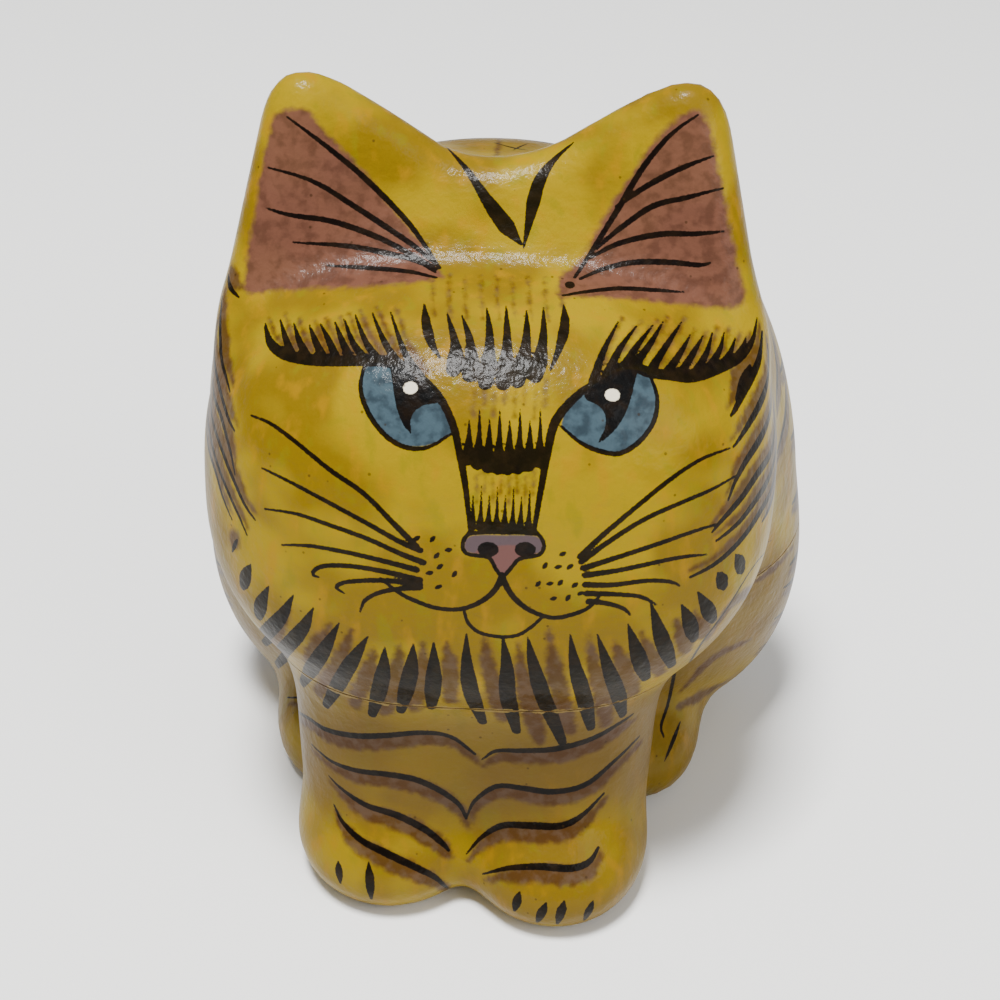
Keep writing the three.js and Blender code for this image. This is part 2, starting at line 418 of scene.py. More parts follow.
# Paths of the paint on the face's board, in mm
# Pink of the ears
EAR_PINK: tuple[Path, ...] = (
    ((-32.4, 100.1), (-29.9, 101.1), (-27.4, 100.7), (-25.7, 98.9), (-20.8, 93.9), (-15.8, 88.4),
     (-10.6, 82.1), (-6.9, 77), (-7.4, 76.2), (-13, 75.1), (-22.5, 74.4), (-31.3, 73.9), (-35.6, 73.3),
     (-36.9, 75.1), (-36.4, 80.3), (-35.2, 88.2), (-33.9, 95.4)),
    ((27.4, 101.7), (30, 102.5), (31.9, 99.6), (33.5, 93.5), (35.3, 86.4), (37, 79.7), (37.7, 74.1),
     (29.4, 73.6), (19.4, 74), (11.1, 74), (10.2, 74.9), (11, 77.7), (13.6, 80.4), (16.6, 86.4),
     (20.3, 92.8), (24.4, 98.9)),
)
# Lines that fan out from the inner corner of each ear
EAR_FAN: tuple[Path, ...] = (
    ((-7.4, 78), (-12.2, 84.6), (-18.3, 90.7), (-24.2, 95.4), (-30.6, 99.9)),
    ((-7.9, 78.5), (-11.1, 81.1), (-14.7, 83.5), (-20.7, 87.2), (-26.6, 90.5), (-33.4, 92.4)),
    ((-7.9, 77.8), (-10.5, 79.3), (-16.6, 82.4), (-23.7, 84.7), (-30.1, 85.4), (-33.6, 86.3)),
    ((-8, 77.3), (-10.9, 79), (-16.5, 80.3), (-22.1, 81.1), (-29.6, 81.3)),
    ((-7.8, 76.4), (-12.3, 77.3), (-18.3, 77.7), (-24.4, 77.9)),
    ((12.7, 77.2), (15.8, 82.7), (19, 88.4), (22.2, 94.2), (25.9, 98.9), (29.9, 102)),
    ((18.5, 88.3), (22.3, 91.1), (27.1, 93.8), (32.5, 96.1)),
    ((15.8, 81.9), (19.1, 85), (23.9, 88.5), (28.7, 89.8), (34.1, 91.4)),
    ((14.8, 80.4), (19.2, 82.8), (25.1, 84.3), (30.5, 84.5), (34.7, 85)),
    ((13.5, 77), (16.9, 78.7), (21.3, 79.9), (26.8, 80.1), (31.2, 79.8), (32.7, 80.2)),
    ((11.1, 74.1), (14.5, 74.9), (19.4, 75.7), (24.4, 75.7), (29, 75.6)),
)
# Marks between the ears
CROWN: tuple[Path, ...] = (
    ((-7.4, 97.3), (-4, 93.4), (-0.9, 88.9), (1.7, 85.5), (4.5, 82.2)),
    ((11.7, 98), (8.9, 95.2), (7, 92.1), (6.1, 88.6), (5.5, 85.1), (4.9, 81.6)),
    ((-0.9, 100.3), (2.3, 99.2), (4.7, 98.7)),
    ((4.6, 100.4), (3.4, 99.5), (2.3, 98.6)),
)
# Tuft of the forehead, each hair from its tip down
TUFT: tuple[Path, ...] = (
    ((-9, 72), (-8.4, 68.9), (-7.4, 65.9), (-6, 63.8)),
    ((-5.6, 70.8), (-4.3, 67), (-3.8, 64.6), (-4, 62.2)),
    ((-3.4, 70.4), (-2.1, 67.1), (-1.5, 63.7), (-1.7, 61.5)),
    ((0.1, 71.8), (0.8, 67.7), (0.9, 63.8), (0.6, 60.5)),
    ((2.9, 72.1), (3.3, 67.8), (3.4, 63.9), (3.1, 60.5)),
    ((5.9, 71.5), (6.1, 67.9), (5.9, 64.4), (5.1, 60.9)),
    ((8.3, 72.1), (8.5, 68), (8.2, 64.5), (7.6, 61.7)),
    ((11.2, 72.7), (11.5, 69.6), (10.9, 66.1), (9.7, 62.6)),
)
# Brows, each from its outer end along the lid and down the nose
BROW: tuple[Path, ...] = (
    ((-33, 68.2), (-31.9, 65.7), (-29.9, 64.3), (-27.1, 63.4), (-23.5, 63), (-20, 63), (-17, 63.1),
     (-13.6, 63.1), (-10.7, 62.2), (-7.7, 60.1), (-5.5, 57.8), (-3.7, 54.3), (-2.9, 51.3), (-1.8, 46.2),
     (-0.9, 39.4)),
    ((40.2, 72.3), (39.5, 68.9), (37.6, 66.3), (33.9, 64.2), (29.8, 62.6), (26.3, 62.7), (23.4, 63),
     (21.5, 63.7), (19.1, 63), (16.8, 61.5), (14, 59.5), (11.7, 57), (10.4, 54.6), (9.8, 51.3),
     (9.1, 46.6), (8.2, 39.8)),
)
# Hairs of the brows, each from its foot up
LASH: tuple[Path, ...] = (
    ((-30.2, 64.6), (-31.8, 66.1), (-33.1, 68.8)),
    ((-28, 64), (-29.4, 66.6), (-30.7, 69.4)),
    ((-25.5, 63.6), (-27.1, 66.1), (-28.3, 68.7)),
    ((-23, 63.4), (-24.6, 66.1), (-25.8, 68.4)),
    ((-21, 63.3), (-22.5, 66.1), (-24.1, 68.6)),
    ((-19, 63.3), (-20.5, 66.1), (-21.9, 68.9)),
    ((-16.6, 63.1), (-18.7, 65.6), (-20.6, 69.4)),
    ((-14.6, 63), (-16.8, 65.7), (-19, 70)),
    ((-11.7, 62.5), (-14.1, 65.8), (-16.5, 70.4)),
    ((-8.7, 61), (-11.2, 64.6), (-13.8, 70.6)),
    ((15.8, 61.2), (17.1, 65.6), (19.2, 70.3)),
    ((17.7, 62.2), (19.5, 66.2), (21.9, 69.8)),
    ((19.8, 63.1), (21.9, 66.6), (24.3, 70.1)),
    ((21.5, 63.6), (23.9, 67.2), (25.8, 70.7)),
    ((23.9, 63.1), (26.3, 67.1), (28.6, 70.9)),
    ((26.3, 62.9), (28.3, 66), (29.9, 69)),
    ((28.3, 62.9), (30.3, 66.2), (31.9, 69.1)),
    ((30.3, 62.9), (32.3, 66.3), (33.3, 69.6)),
    ((32.3, 63.7), (34.3, 66.8), (35.1, 69.7)),
    ((34.4, 64.5), (36, 66.6), (36.8, 69)),
    ((36.8, 65.8), (37.9, 67.5), (38.5, 69.3)),
)
# Blue of the eyes
EYE: tuple[Path, ...] = (
    ((-16.9, 62.5), (-17, 59.4), (-16.1, 56.5), (-14.6, 54.1), (-12.6, 52.2), (-10.2, 51.2),
     (-7.4, 51.3), (-5, 52.3), (-3.8, 53.4), (-4.7, 56.4), (-6.7, 59.2), (-9.7, 61.5), (-13.6, 62.7)),
    ((11.6, 54.7), (12.4, 57.4), (14.5, 59.6), (16.8, 61.4), (19.6, 63), (22, 63.2), (24.2, 62.2),
     (24.9, 59.9), (24.8, 57.5), (24.1, 55.1), (22.5, 52.9), (20.4, 51.5), (18.1, 51.3), (15.4, 52),
     (13.3, 53.2)),
)
# Rims of the eyes
EYE_RIM: tuple[Path, ...] = (
    ((-16.8, 62.6), (-17.2, 59.4), (-16.3, 56.5), (-14.7, 54), (-12.6, 52), (-10, 50.9), (-7.1, 51.1),
     (-3.9, 53.1)),
    ((23.9, 62.5), (25, 59.5), (24.7, 56.1), (22.8, 53.1), (20, 51.2), (17.1, 51.4), (14.3, 52.5),
     (11.5, 54.7)),
)
# Pupils
PUPIL: tuple[Path, ...] = (
    ((-12.9, 62.6), (-12.5, 59.5), (-11.9, 56.7), (-10.9, 54.3), (-9.6, 52.8), (-9.8, 54.4),
     (-9.4, 55.9), (-8, 57), (-5.6, 57.7), (-7.7, 60.1), (-10.7, 62.1)),
    ((14.7, 60), (17.2, 61.9), (19.6, 63.2), (21.9, 63.3), (21.6, 60.7), (20.9, 57.8), (19.8, 55.4),
     (18.2, 53.5), (16.8, 52.5), (17.6, 54.4), (17.8, 55.8), (17.4, 57.1), (16.4, 58), (14.9, 58.6)),
)
# Middles of the glints
GLINT: Path = (
    (-10, 59.4), (18.6, 59.4),
)
# Nose
NOSE_PINK: Path = (
    (-0.8, 38.6), (3.8, 38.8), (8.6, 38.9), (9.5, 37.7), (8.9, 36.5), (7.5, 36.1), (5.9, 35.6),
    (5, 34.3), (3.9, 33.1), (2.8, 34.4), (1.9, 35.7), (0.1, 36.1), (-1.4, 36.4), (-1.7, 37.4),
)
# Grey upper part of the nose
NOSE_SHADE: Path = (
    (-0.8, 38.7), (3.8, 39), (8.6, 39), (9.5, 37.7), (8.9, 36.5), (7.5, 36.7), (6, 37.5),
    (3.9, 37.5), (2.9, 37.3), (1.5, 37.5), (-0.4, 36.2), (-1.5, 36.5), (-1.7, 37.4),
)
# Middles of the nostrils
NOSTRIL: Path = (
    (1.7, 36.8), (7, 37),
)
# Outline of the nose
NOSE_LINE: tuple[Path, ...] = (
    ((-0.9, 39.3), (-1.7, 38.3), (-2, 37.2), (-1.5, 36.1), (0.3, 35.8), (1.9, 35.6), (2.7, 34.2),
     (3.7, 32.8)),
    ((8.3, 39.7), (9.3, 38.7), (9.7, 37.5), (9.1, 36.3), (7.5, 35.9), (6.1, 35.5), (4.9, 34),
     (3.8, 32.7)),
    ((-0.9, 39), (1.4, 39.3), (3.8, 39.3), (6.2, 39.4), (8.5, 39.3)),
)
# Mouth and chin
MOUTH: tuple[Path, ...] = (
    ((3.8, 33.1), (2.8, 30.9), (0.7, 29), (-2.2, 27.8), (-5.6, 27.8), (-8.6, 28.7), (-11, 29.8),
     (-13.9, 31.9)),
    ((3.8, 32.8), (5.1, 30.4), (7.1, 28.5), (9.4, 27.4), (11.8, 27), (14.7, 27.8), (16.6, 28.8),
     (18, 30.6)),
    ((-1.6, 27.4), (-1, 25.7), (0.7, 24.3), (3.7, 23.8), (6.1, 24.1), (8, 25.3), (9.8, 27.1)),
)
# Specks beside the nose
SPECK: Path = (
    (-8.6, 38), (-6.3, 38), (-4, 36.5), (-5.7, 35.6), (-5.2, 34), (-6.7, 33), (-3.1, 33), (-5.4, 31),
    (12.4, 36.5), (9.9, 34.7), (11.8, 34.6), (13.5, 34.7), (9, 32), (10.7, 32.1), (12.2, 32.3),
    (14.3, 32), (11.3, 29.9), (13.4, 30.1), (15.2, 30.8),
)
# Whiskers, each from its root
WHISKER: tuple[Path, ...] = (
    ((-8.6, 36.8), (-12, 40.1), (-16.3, 44.2), (-21.3, 47.4), (-26.9, 51.5), (-30.6, 53.8),
     (-33.8, 54.9)),
    ((-8.1, 36.3), (-11, 37.4), (-15.8, 39.9), (-21.3, 42.6), (-26.8, 45.2), (-31.8, 47.3)),
    ((-7.6, 34.5), (-11, 35.7), (-15.9, 37.7), (-21.3, 39.4), (-26.3, 40.8), (-31.4, 41.3)),
    ((-8.6, 33.4), (-13.9, 34.6), (-19.3, 35.6), (-24.4, 36.2), (-28.8, 36.1)),
    ((-8.1, 31.9), (-13, 32.9), (-17.9, 33.5), (-21.9, 33.4), (-23.7, 32.7), (-24, 31.9), (-23.1, 31.6)),
    ((-8.1, 31.2), (-12, 31.6), (-15.9, 31.5), (-19.4, 31), (-20.5, 30.2), (-19.3, 29.4)),
    ((-8.1, 30.8), (-11, 30.5), (-14, 29.8), (-16.2, 28.5), (-17, 26.7)),
    ((14.9, 36.2), (18.1, 39.5), (22.7, 43.7), (27.3, 47.7), (31.6, 50.7), (36.1, 52.6)),
    ((15.1, 35.5), (18.6, 38.3), (23.7, 41.8), (29, 44.4), (33.4, 46.4), (37.1, 48.5)),
    ((15.4, 34.5), (20.6, 36.4), (26.4, 38.5), (31.2, 40.3), (35.2, 41.6)),
    ((15.7, 33.5), (20.7, 34.4), (26.5, 35.8), (30.4, 36.6), (33.5, 36.9)),
    ((15.8, 32.1), (19.9, 32.2), (24.7, 32.9), (28.2, 32.8), (29.7, 32.2)),
    ((16.1, 30.8), (19.9, 30.8), (23.9, 30.5), (26.4, 29.3)),
    ((16.4, 29.6), (19, 29.4), (21.5, 28.7), (22.6, 27.7)),
)
# Black hairs below the face, each from its tip
BEARD: tuple[Path, ...] = (
    ((-34.1, 32.8), (-36.1, 29.1)),
    ((-31.2, 29.7), (-32.8, 26.7), (-33.9, 24.4)),
    ((-27.2, 28.6), (-30.4, 24), (-40, 15.8)),
    ((-24.1, 26.9), (-27.2, 22.1), (-38.2, 11.6)),
    ((-20.2, 24.8), (-23.4, 19.5), (-28.4, 13)),
    ((-15.9, 23), (-19, 18.1), (-24.1, 10.1)),
    ((-13.4, 21.4), (-14, 16.7), (-16.3, 9.5)),
    ((-9.1, 22.2), (-9.7, 17.5), (-11.7, 10.5)),
    ((-6.1, 22.6), (-6.2, 17.1), (-6.9, 11.4)),
    ((-1.3, 24.1), (-1.2, 19.1), (-0.6, 14.3), (0.9, 9)),
    ((4, 24), (4.7, 19.4), (4.9, 13.9), (6.2, 7.7)),
    ((7.7, 23.9), (8.7, 19.5), (10.5, 13.4), (13.4, 6)),
    ((13.9, 24.5), (14.8, 19.7), (16.4, 14.2), (17.8, 8.5)),
    ((17.9, 24.6), (19.6, 19.8), (21.6, 14.7), (22.8, 10.5)),
    ((22.3, 26.3), (24.1, 21.5), (25.8, 17.2)),
    ((25.5, 29.6), (27.4, 24.4), (29.7, 19.3)),
    ((30.1, 29.4), (31.6, 26.6), (32.8, 23.7)),
    ((32.5, 31.3), (34.2, 28.7), (35.6, 26.7)),
    ((35.4, 34.2), (36.8, 32)),
    ((38.1, 36.9), (39.6, 34.4)),
)
# Brown hairs between them
BEARD_BROWN: tuple[Path, ...] = (
    ((-28, 26.3), (-32.3, 19.8)),
    ((-21.3, 24.6), (-25.8, 17.6)),
    ((-18.3, 23.9), (-21, 17.9), (-25.3, 12)),
    ((-14.9, 21.3), (-16.2, 17.1), (-19.2, 11)),
    ((-11.1, 22.1), (-11.8, 17.4), (-14.1, 10.2)),
    ((-7.7, 22.3), (-8, 17), (-9.6, 11.1)),
    ((-4.2, 22.7), (-3.7, 18.4), (-3.9, 12.8)),
    ((1.3, 23.8), (1.9, 19.3), (3.2, 14.5), (4.2, 9.8)),
    ((6.3, 22.8), (7.2, 17.7), (8.3, 12), (9.8, 6.3)),
    ((10.7, 25.2), (11.6, 20.2), (12.9, 14.1), (14.5, 8)),
    ((16.5, 24.3), (17.7, 19.8), (19.1, 14.8), (20.3, 9.1)),
    ((20.4, 23.8), (22, 19.8), (24.2, 14.5)),
    ((24.4, 25), (26, 21.5), (28, 18)),
    ((29.3, 27.2), (30.8, 24), (31.8, 21.8)),
    ((32.3, 28.2), (33.7, 25.6), (34.4, 24.4)),
)
# Stripes of the chest
CHEST: tuple[Path, ...] = (
    ((-35.6, 6.3), (-28.7, 7.2), (-24.5, 5.8), (-19.6, 5.4), (-14.3, 5.9), (-8.7, 6.7), (-4.2, 6.1),
     (-0.3, 3.1)),
    ((-27.4, 2.6), (-23.5, 0.3), (-19.2, -0.7), (-14.5, -0.9), (-9.9, -1.6), (-6, -3.5), (-2.9, -6.1),
     (-1.7, -8.7)),
    ((-24.2, -2.4), (-21.7, -4.5), (-17.6, -6.8), (-12.9, -8.1), (-8.3, -10.5), (-5.4, -13),
     (-4.4, -14.2)),
    ((-23.4, -7.3), (-21.8, -10), (-18.6, -12.6), (-14.5, -14.4), (-9.8, -16.6), (-6.4, -18.7),
     (-4.5, -21.4)),
    ((0.8, 2.2), (3.1, 3.9), (7, 4.2), (12.6, 4.8), (18.2, 6.6), (22.6, 9.2), (24.4, 10.4)),
    ((-1.7, -8.7), (-0.3, -5.3), (3.2, -2.4), (7.2, -2.4), (12.3, -2.8), (17.4, -1.5), (21.8, 2.3),
     (25.8, 6.1)),
    ((-1.6, -14.8), (1, -11.6), (4.4, -9.3), (9.1, -8.9), (13.7, -8.7), (17.1, -6.9), (20.4, -3.3)),
    ((1.2, -17.7), (5.3, -16), (10.5, -15.2), (15.6, -15.3), (18.5, -14.3), (19.9, -12.2)),
)
# Claws
PAW: tuple[Path, ...] = (
    ((-28.2, -13.7),),
    ((-26.4, -16.2),),
    ((-22.3, -16.5), (-22, -20.3)),
    ((-17.2, -16), (-16.9, -19.5), (-16.8, -22.7)),
    ((7.5, -19.5), (6.6, -23.1)),
    ((11.8, -20.9), (10.4, -24.9)),
    ((14.7, -20.4), (13.7, -25)),
    ((19.3, -20.6), (18.1, -24.4)),
)
# Dark lines where the forelegs meet the haunches
CREASE: tuple[Path, ...] = (
    ((47.3, 38), (42.2, 35.6), (37.3, 28), (33, 20.3), (31.8, 9.1), (30.6, 4.7), (31.2, 2.7)),
    ((34.1, 5.1), (31.4, -1.5)),
)
# Brown shading on the haunch
HAUNCH_SHADE: tuple[Path, ...] = (
    ((52.3, 36.5), (47.3, 32.4), (39, 29.6), (34.9, 23.4)),
    ((45.7, 20), (39.2, 17.1), (34, 11)),
    ((43.3, 11.4), (33.7, 7.9)),
)
# Long hairs of the cheeks, on the boards that face them
CHEEK_LEFT: tuple[Path, ...] = (
    ((8.5, 94.2), (5.7, 92.0), (3.1, 90.8), (-0.9, 89.6), (-5.2, 88.7), (-6.7, 88.4)),
    ((2.6, 91.6), (-0.7, 90.5), (-4.0, 89.5)),
    ((9.4, 91.8), (8.2, 89.2), (5.3, 87.6), (-0.1, 86.3), (-4.9, 85.5), (-8.6, 84.6)),
    ((14.0, 86.0), (8.7, 83.5), (2.5, 82.8), (-5.3, 81.9), (-9.4, 80.2), (-11.9, 77.7)),
    ((15.0, 82.0), (9.5, 79.5), (3.9, 78.2), (-3.9, 78.2), (-9.5, 76.6), (-13.5, 75.1), (-15.5, 73.9)),
    ((15.0, 78.5), (8.0, 76.0), (1.6, 75.1), (-5.2, 74.4), (-10.3, 73.1), (-15.0, 72.2)),
    ((15.0, 75.0), (8.0, 73.0), (2.2, 72.0), (-3.5, 71.6), (-8.2, 70.4), (-15.0, 68.6), (-19.7, 67.9)),
    ((10.0, 70.5), (2.3, 69.6), (-3.1, 69.3)),
)
CHEEK_RIGHT: tuple[Path, ...] = (
    ((-11.1, 98.9), (-9.0, 98.0), (-6.5, 97.4)),
    ((-10.1, 96.0), (-6.4, 92.3), (-2.5, 89.4), (3.1, 87.5)),
    ((-9.0, 92.9), (-6.7, 88.9), (-1.5, 86.8), (4.9, 84.9), (8.4, 84.0)),
    ((-8.0, 88.0), (-2.9, 84.8), (3.9, 83.6), (8.5, 81.1), (10.9, 78.2)),
    ((-8.0, 84.5), (-1.9, 82.0), (5.3, 80.3), (10.3, 77.6), (14.0, 74.7), (16.3, 73.3)),
    ((-9.0, 82.0), (-4.9, 80.1), (1.3, 78.8), (7.5, 76.1), (12.5, 72.7), (15.1, 70.1)),
    ((-7.0, 79.0), (-0.2, 77.1), (4.8, 75.7), (8.0, 73.3), (11.4, 70.8)),
    ((-12.0, 95.0), (-11.0, 89.0), (-7.0, 84.5)),
    ((13.0, 68.1), (11.7, 65.2)),
)


def spread_strokes(
    paths: Sequence[Path], widths: tuple[float, ...], coat: Coat = Coat.INK, side: Side = Side.FACE
) -> list[Stroke]:
    """Gives each path a stroke with the same widths."""
    return [Stroke(path, widths, coat, side) for path in paths]


def moved(path: Path, right: float, up: float) -> Path:
    """Returns a path shifted on its board."""
    return tuple((u + right, v + up) for u, v in path)


def oval(centre: tuple[float, float], radii: tuple[float, float], turn: float = 0.0) -> Path:
    """Returns the outline of an oval on a board.

    Args:
        centre: its middle, in mm.
        radii: its half width and half height, in mm.
        turn: how far it is turned, in degrees.
    """
    corners = 12
    cosine, sine = math.cos(math.radians(turn)), math.sin(math.radians(turn))
    places = []
    for corner in range(corners):
        angle = 2 * math.pi * corner / corners
        u, v = radii[0] * math.cos(angle), radii[1] * math.sin(angle)
        places.append((centre[0] + u * cosine - v * sine, centre[1] + u * sine + v * cosine))
    return tuple(places)


@dataclass(frozen=True)
class HairRow:
    """A row of short hairs across the bridge of the nose, in mm on the face's board.

    The bend and foot are given by their step to the right of a hair's tip and their height. Each
    hair has a finer brown one above it, given by its steps from the black hair's tip.
    """

    first: float
    reach: float
    tips: tuple[float, float]
    bend: tuple[float, float]
    foot: tuple[float, float]
    sag: float
    widths: tuple[float, ...]
    fine: Path
    fine_widths: tuple[float, float]
    count: int = 8

    def strokes(self) -> list[Stroke]:
        """Returns the black and the brown hairs of the row."""
        marks = []
        for number in range(self.count):
            share = number / (self.count - 1)
            u = self.first + self.reach * share
            tip = self.tips[number % 2]
            foot = self.foot[1] - self.sag * 4.0 * share * (1.0 - share)
            path = ((u, tip), (u + self.bend[0], self.bend[1]), (u + self.foot[0], foot))
            marks.append(Stroke(path, self.widths))
            marks.append(Stroke(moved(self.fine, u, tip), self.fine_widths, Coat.WASH))
        return marks


@dataclass(frozen=True)
class FacePaint:
    """The paint of the face and ears; widths and radii in mm."""

    fan: tuple[float, ...] = (0.55, 0.85, 0.95, 0.80, 0.30)
    crown: tuple[float, ...] = (0.40, 0.80, 1.40, 2.20, 2.60, 0.50)
    crown_right: tuple[float, ...] = (0.30, 1.00, 1.90, 2.10, 1.10, 0.30)
    tuft: tuple[float, ...] = (0.20, 0.95, 1.45, 2.50, 2.20)
    tuft_end: tuple[float, ...] = (0.20, 1.30, 1.60, 1.00, 0.35)
    brow_left: tuple[float, ...] = (0.4, 1.1, 1.8, 1.8, 1.7, 1.7, 1.9, 1.5, 1.2, 1.1, 1.1, 1.0, 0.6)
    brow_right: tuple[float, ...] = (0.3, 1.0, 1.7, 2.0, 1.6, 1.8, 1.7, 1.1, 1.0, 1.2, 1.4, 1.2, 1.0, 0.7)
    lash: tuple[float, ...] = (1.40, 0.95, 0.25)
    rim: tuple[float, ...] = (0.5, 0.75, 0.75, 0.7, 0.4)
    glint: tuple[float, float] = (1.10, 0.90)
    ear_dot: tuple[float, float] = (12.0, 75.9)
    ear_dot_radius: float = 0.3
    ear_dot_width: float = 0.9
    crown_short: tuple[float, ...] = (0.2, 0.45, 0.2)
    hair: Path = ((0.0, 77.0), (0.3, 73.5), (0.9, 70.0))
    hair_width: tuple[float, ...] = (0.1, 0.3, 0.1)
    hair_first: float = -8.2
    hair_gap: float = 2.35
    hair_count: int = 9
    lash_shade: tuple[float, ...] = (1.3, 1.0, 0.3)
    lash_shift: tuple[float, float] = (0.7, 0.8)
    rows: tuple[HairRow, ...] = (
        HairRow(
            -1.5, 10.0, (55.4, 57.1), (0.1, 53.0), (0.0, 49.6), 1.2, (0.12, 0.7, 1.9),
            ((0.6, 4.2), (0.6, 0.5)), (0.1, 0.28),
        ),
        HairRow(
            -0.6, 8.0, (44.7, 46.0), (0.0, 42.0), (-0.1, 40.0), 0.0, (0.12, 0.55, 1.3),
            ((0.5, 2.8), (0.5, -1.0)), (0.1, 0.30),
        ),
    )
    nostril: tuple[float, float] = (1.55, 1.10)
    nose_line: float = 0.62
    mouth: tuple[float, ...] = (1.00, 0.85, 0.72, 0.75, 0.45)
    chin: tuple[float, ...] = (0.5, 0.65, 0.65, 0.5)
    speck: tuple[float, ...] = (0.45, 0.75, 0.45)
    speck_half: float = 0.38
    speck_lean: float = 35.0
    speck_swing: float = 25.0
    speck_turn: float = 2.3
    whisker: tuple[float, ...] = (1.00, 0.82, 0.74, 0.64, 0.34)
    cheek_left: tuple[float, ...] = (0.60, 1.30, 1.50, 1.10, 0.45)
    cheek_right: tuple[float, ...] = (0.45, 0.85, 0.90, 0.70, 0.35)
    cheek_shade: tuple[float, ...] = (0.8, 2.4, 2.8, 1.8, 0.5)
    cheek_lift: float = 1.1

    def ears(self) -> list[Stroke]:
        """Returns the fans inside the ears."""
        radii = (self.ear_dot_radius, self.ear_dot_radius)
        dot = Stroke(oval(self.ear_dot, radii), (self.ear_dot_width, self.ear_dot_width))
        return spread_strokes(EAR_FAN, self.fan) + [dot]

    def forehead(self) -> list[Stroke]:
        """Returns the marks on the crown and the tuft over the nose."""
        marks = [Stroke(CROWN[0], self.crown), Stroke(CROWN[1], self.crown_right)]
        marks += spread_strokes(CROWN[2:], self.crown_short)
        ends = (0, len(TUFT) - 1)
        for number, path in enumerate(TUFT):
            marks.append(Stroke(path, self.tuft_end if number in ends else self.tuft))
        for number in range(self.hair_count):
            path = moved(self.hair, self.hair_first + self.hair_gap * number, 0.0)
            marks.append(Stroke(path, self.hair_width, Coat.WASH))
        return marks

    def bridge(self) -> list[Stroke]:
        """Returns the two rows of short hairs down the bridge of the nose."""
        return [mark for row in self.rows for mark in row.strokes()]

    def brows(self) -> list[Stroke]:
        """Returns the lids that run down into the nose, with their lashes."""
        marks = [Stroke(BROW[0], self.brow_left), Stroke(BROW[1], self.brow_right)]
        for path in LASH:
            marks.append(Stroke(path, self.lash))
            marks.append(Stroke(moved(path, *self.lash_shift), self.lash_shade, Coat.WASH))
        return marks

    def eyes(self) -> tuple[list[Stroke], list[Patch]]:
        """Returns the eyes' rims, and their blue, pupils and glints."""
        patches = [Patch(outline, Coat.IRIS) for outline in EYE]
        patches += [Patch(outline, Coat.INK) for outline in PUPIL]
        patches += [Patch(oval(place, self.glint), Coat.GLINT) for place in GLINT]
        return spread_strokes(EYE_RIM, self.rim), patches

    def nose(self) -> tuple[list[Stroke], list[Patch]]:
        """Returns the nose's outline, and its pink, shade and nostrils."""
        patches = [Patch(NOSE_PINK, Coat.NOSE), Patch(NOSE_SHADE, Coat.GREY)]
        patches += [Patch(oval(place, self.nostril), Coat.INK) for place in NOSTRIL]
        return spread_strokes(NOSE_LINE, (self.nose_line, self.nose_line)), patches

    def muzzle(self) -> list[Stroke]:
        """Returns the mouth, the specks beside the nose and the whiskers."""
        marks = spread_strokes(MOUTH[:2], self.mouth) + [Stroke(MOUTH[2], self.chin)]
        for number, place in enumerate(SPECK):
            lean = math.radians(self.speck_lean + self.speck_swing * math.sin(self.speck_turn * number))
            step = (self.speck_half * math.cos(lean), self.speck_half * math.sin(lean))
            ends = [(place[0] + way * step[0], place[1] + way * step[1]) for way in (-1, 1)]
            marks.append(Stroke((ends[0], place, ends[1]), self.speck))
        return marks + spread_strokes(WHISKER, self.whisker)

    def cheeks(self) -> list[Stroke]:
        """Returns the long hairs along the sides of the face."""
        marks = []
        for paths, widths, side in (
            (CHEEK_LEFT, self.cheek_left, Side.CHEEK_LEFT),
            (CHEEK_RIGHT, self.cheek_right, Side.CHEEK_RIGHT),
        ):
            for path in paths:
                marks.append(Stroke(path, widths, Coat.INK, side))
                shade = moved(path, 0.0, self.cheek_lift)
                marks.append(Stroke(shade, self.cheek_shade, Coat.WASH, side))
        return marks


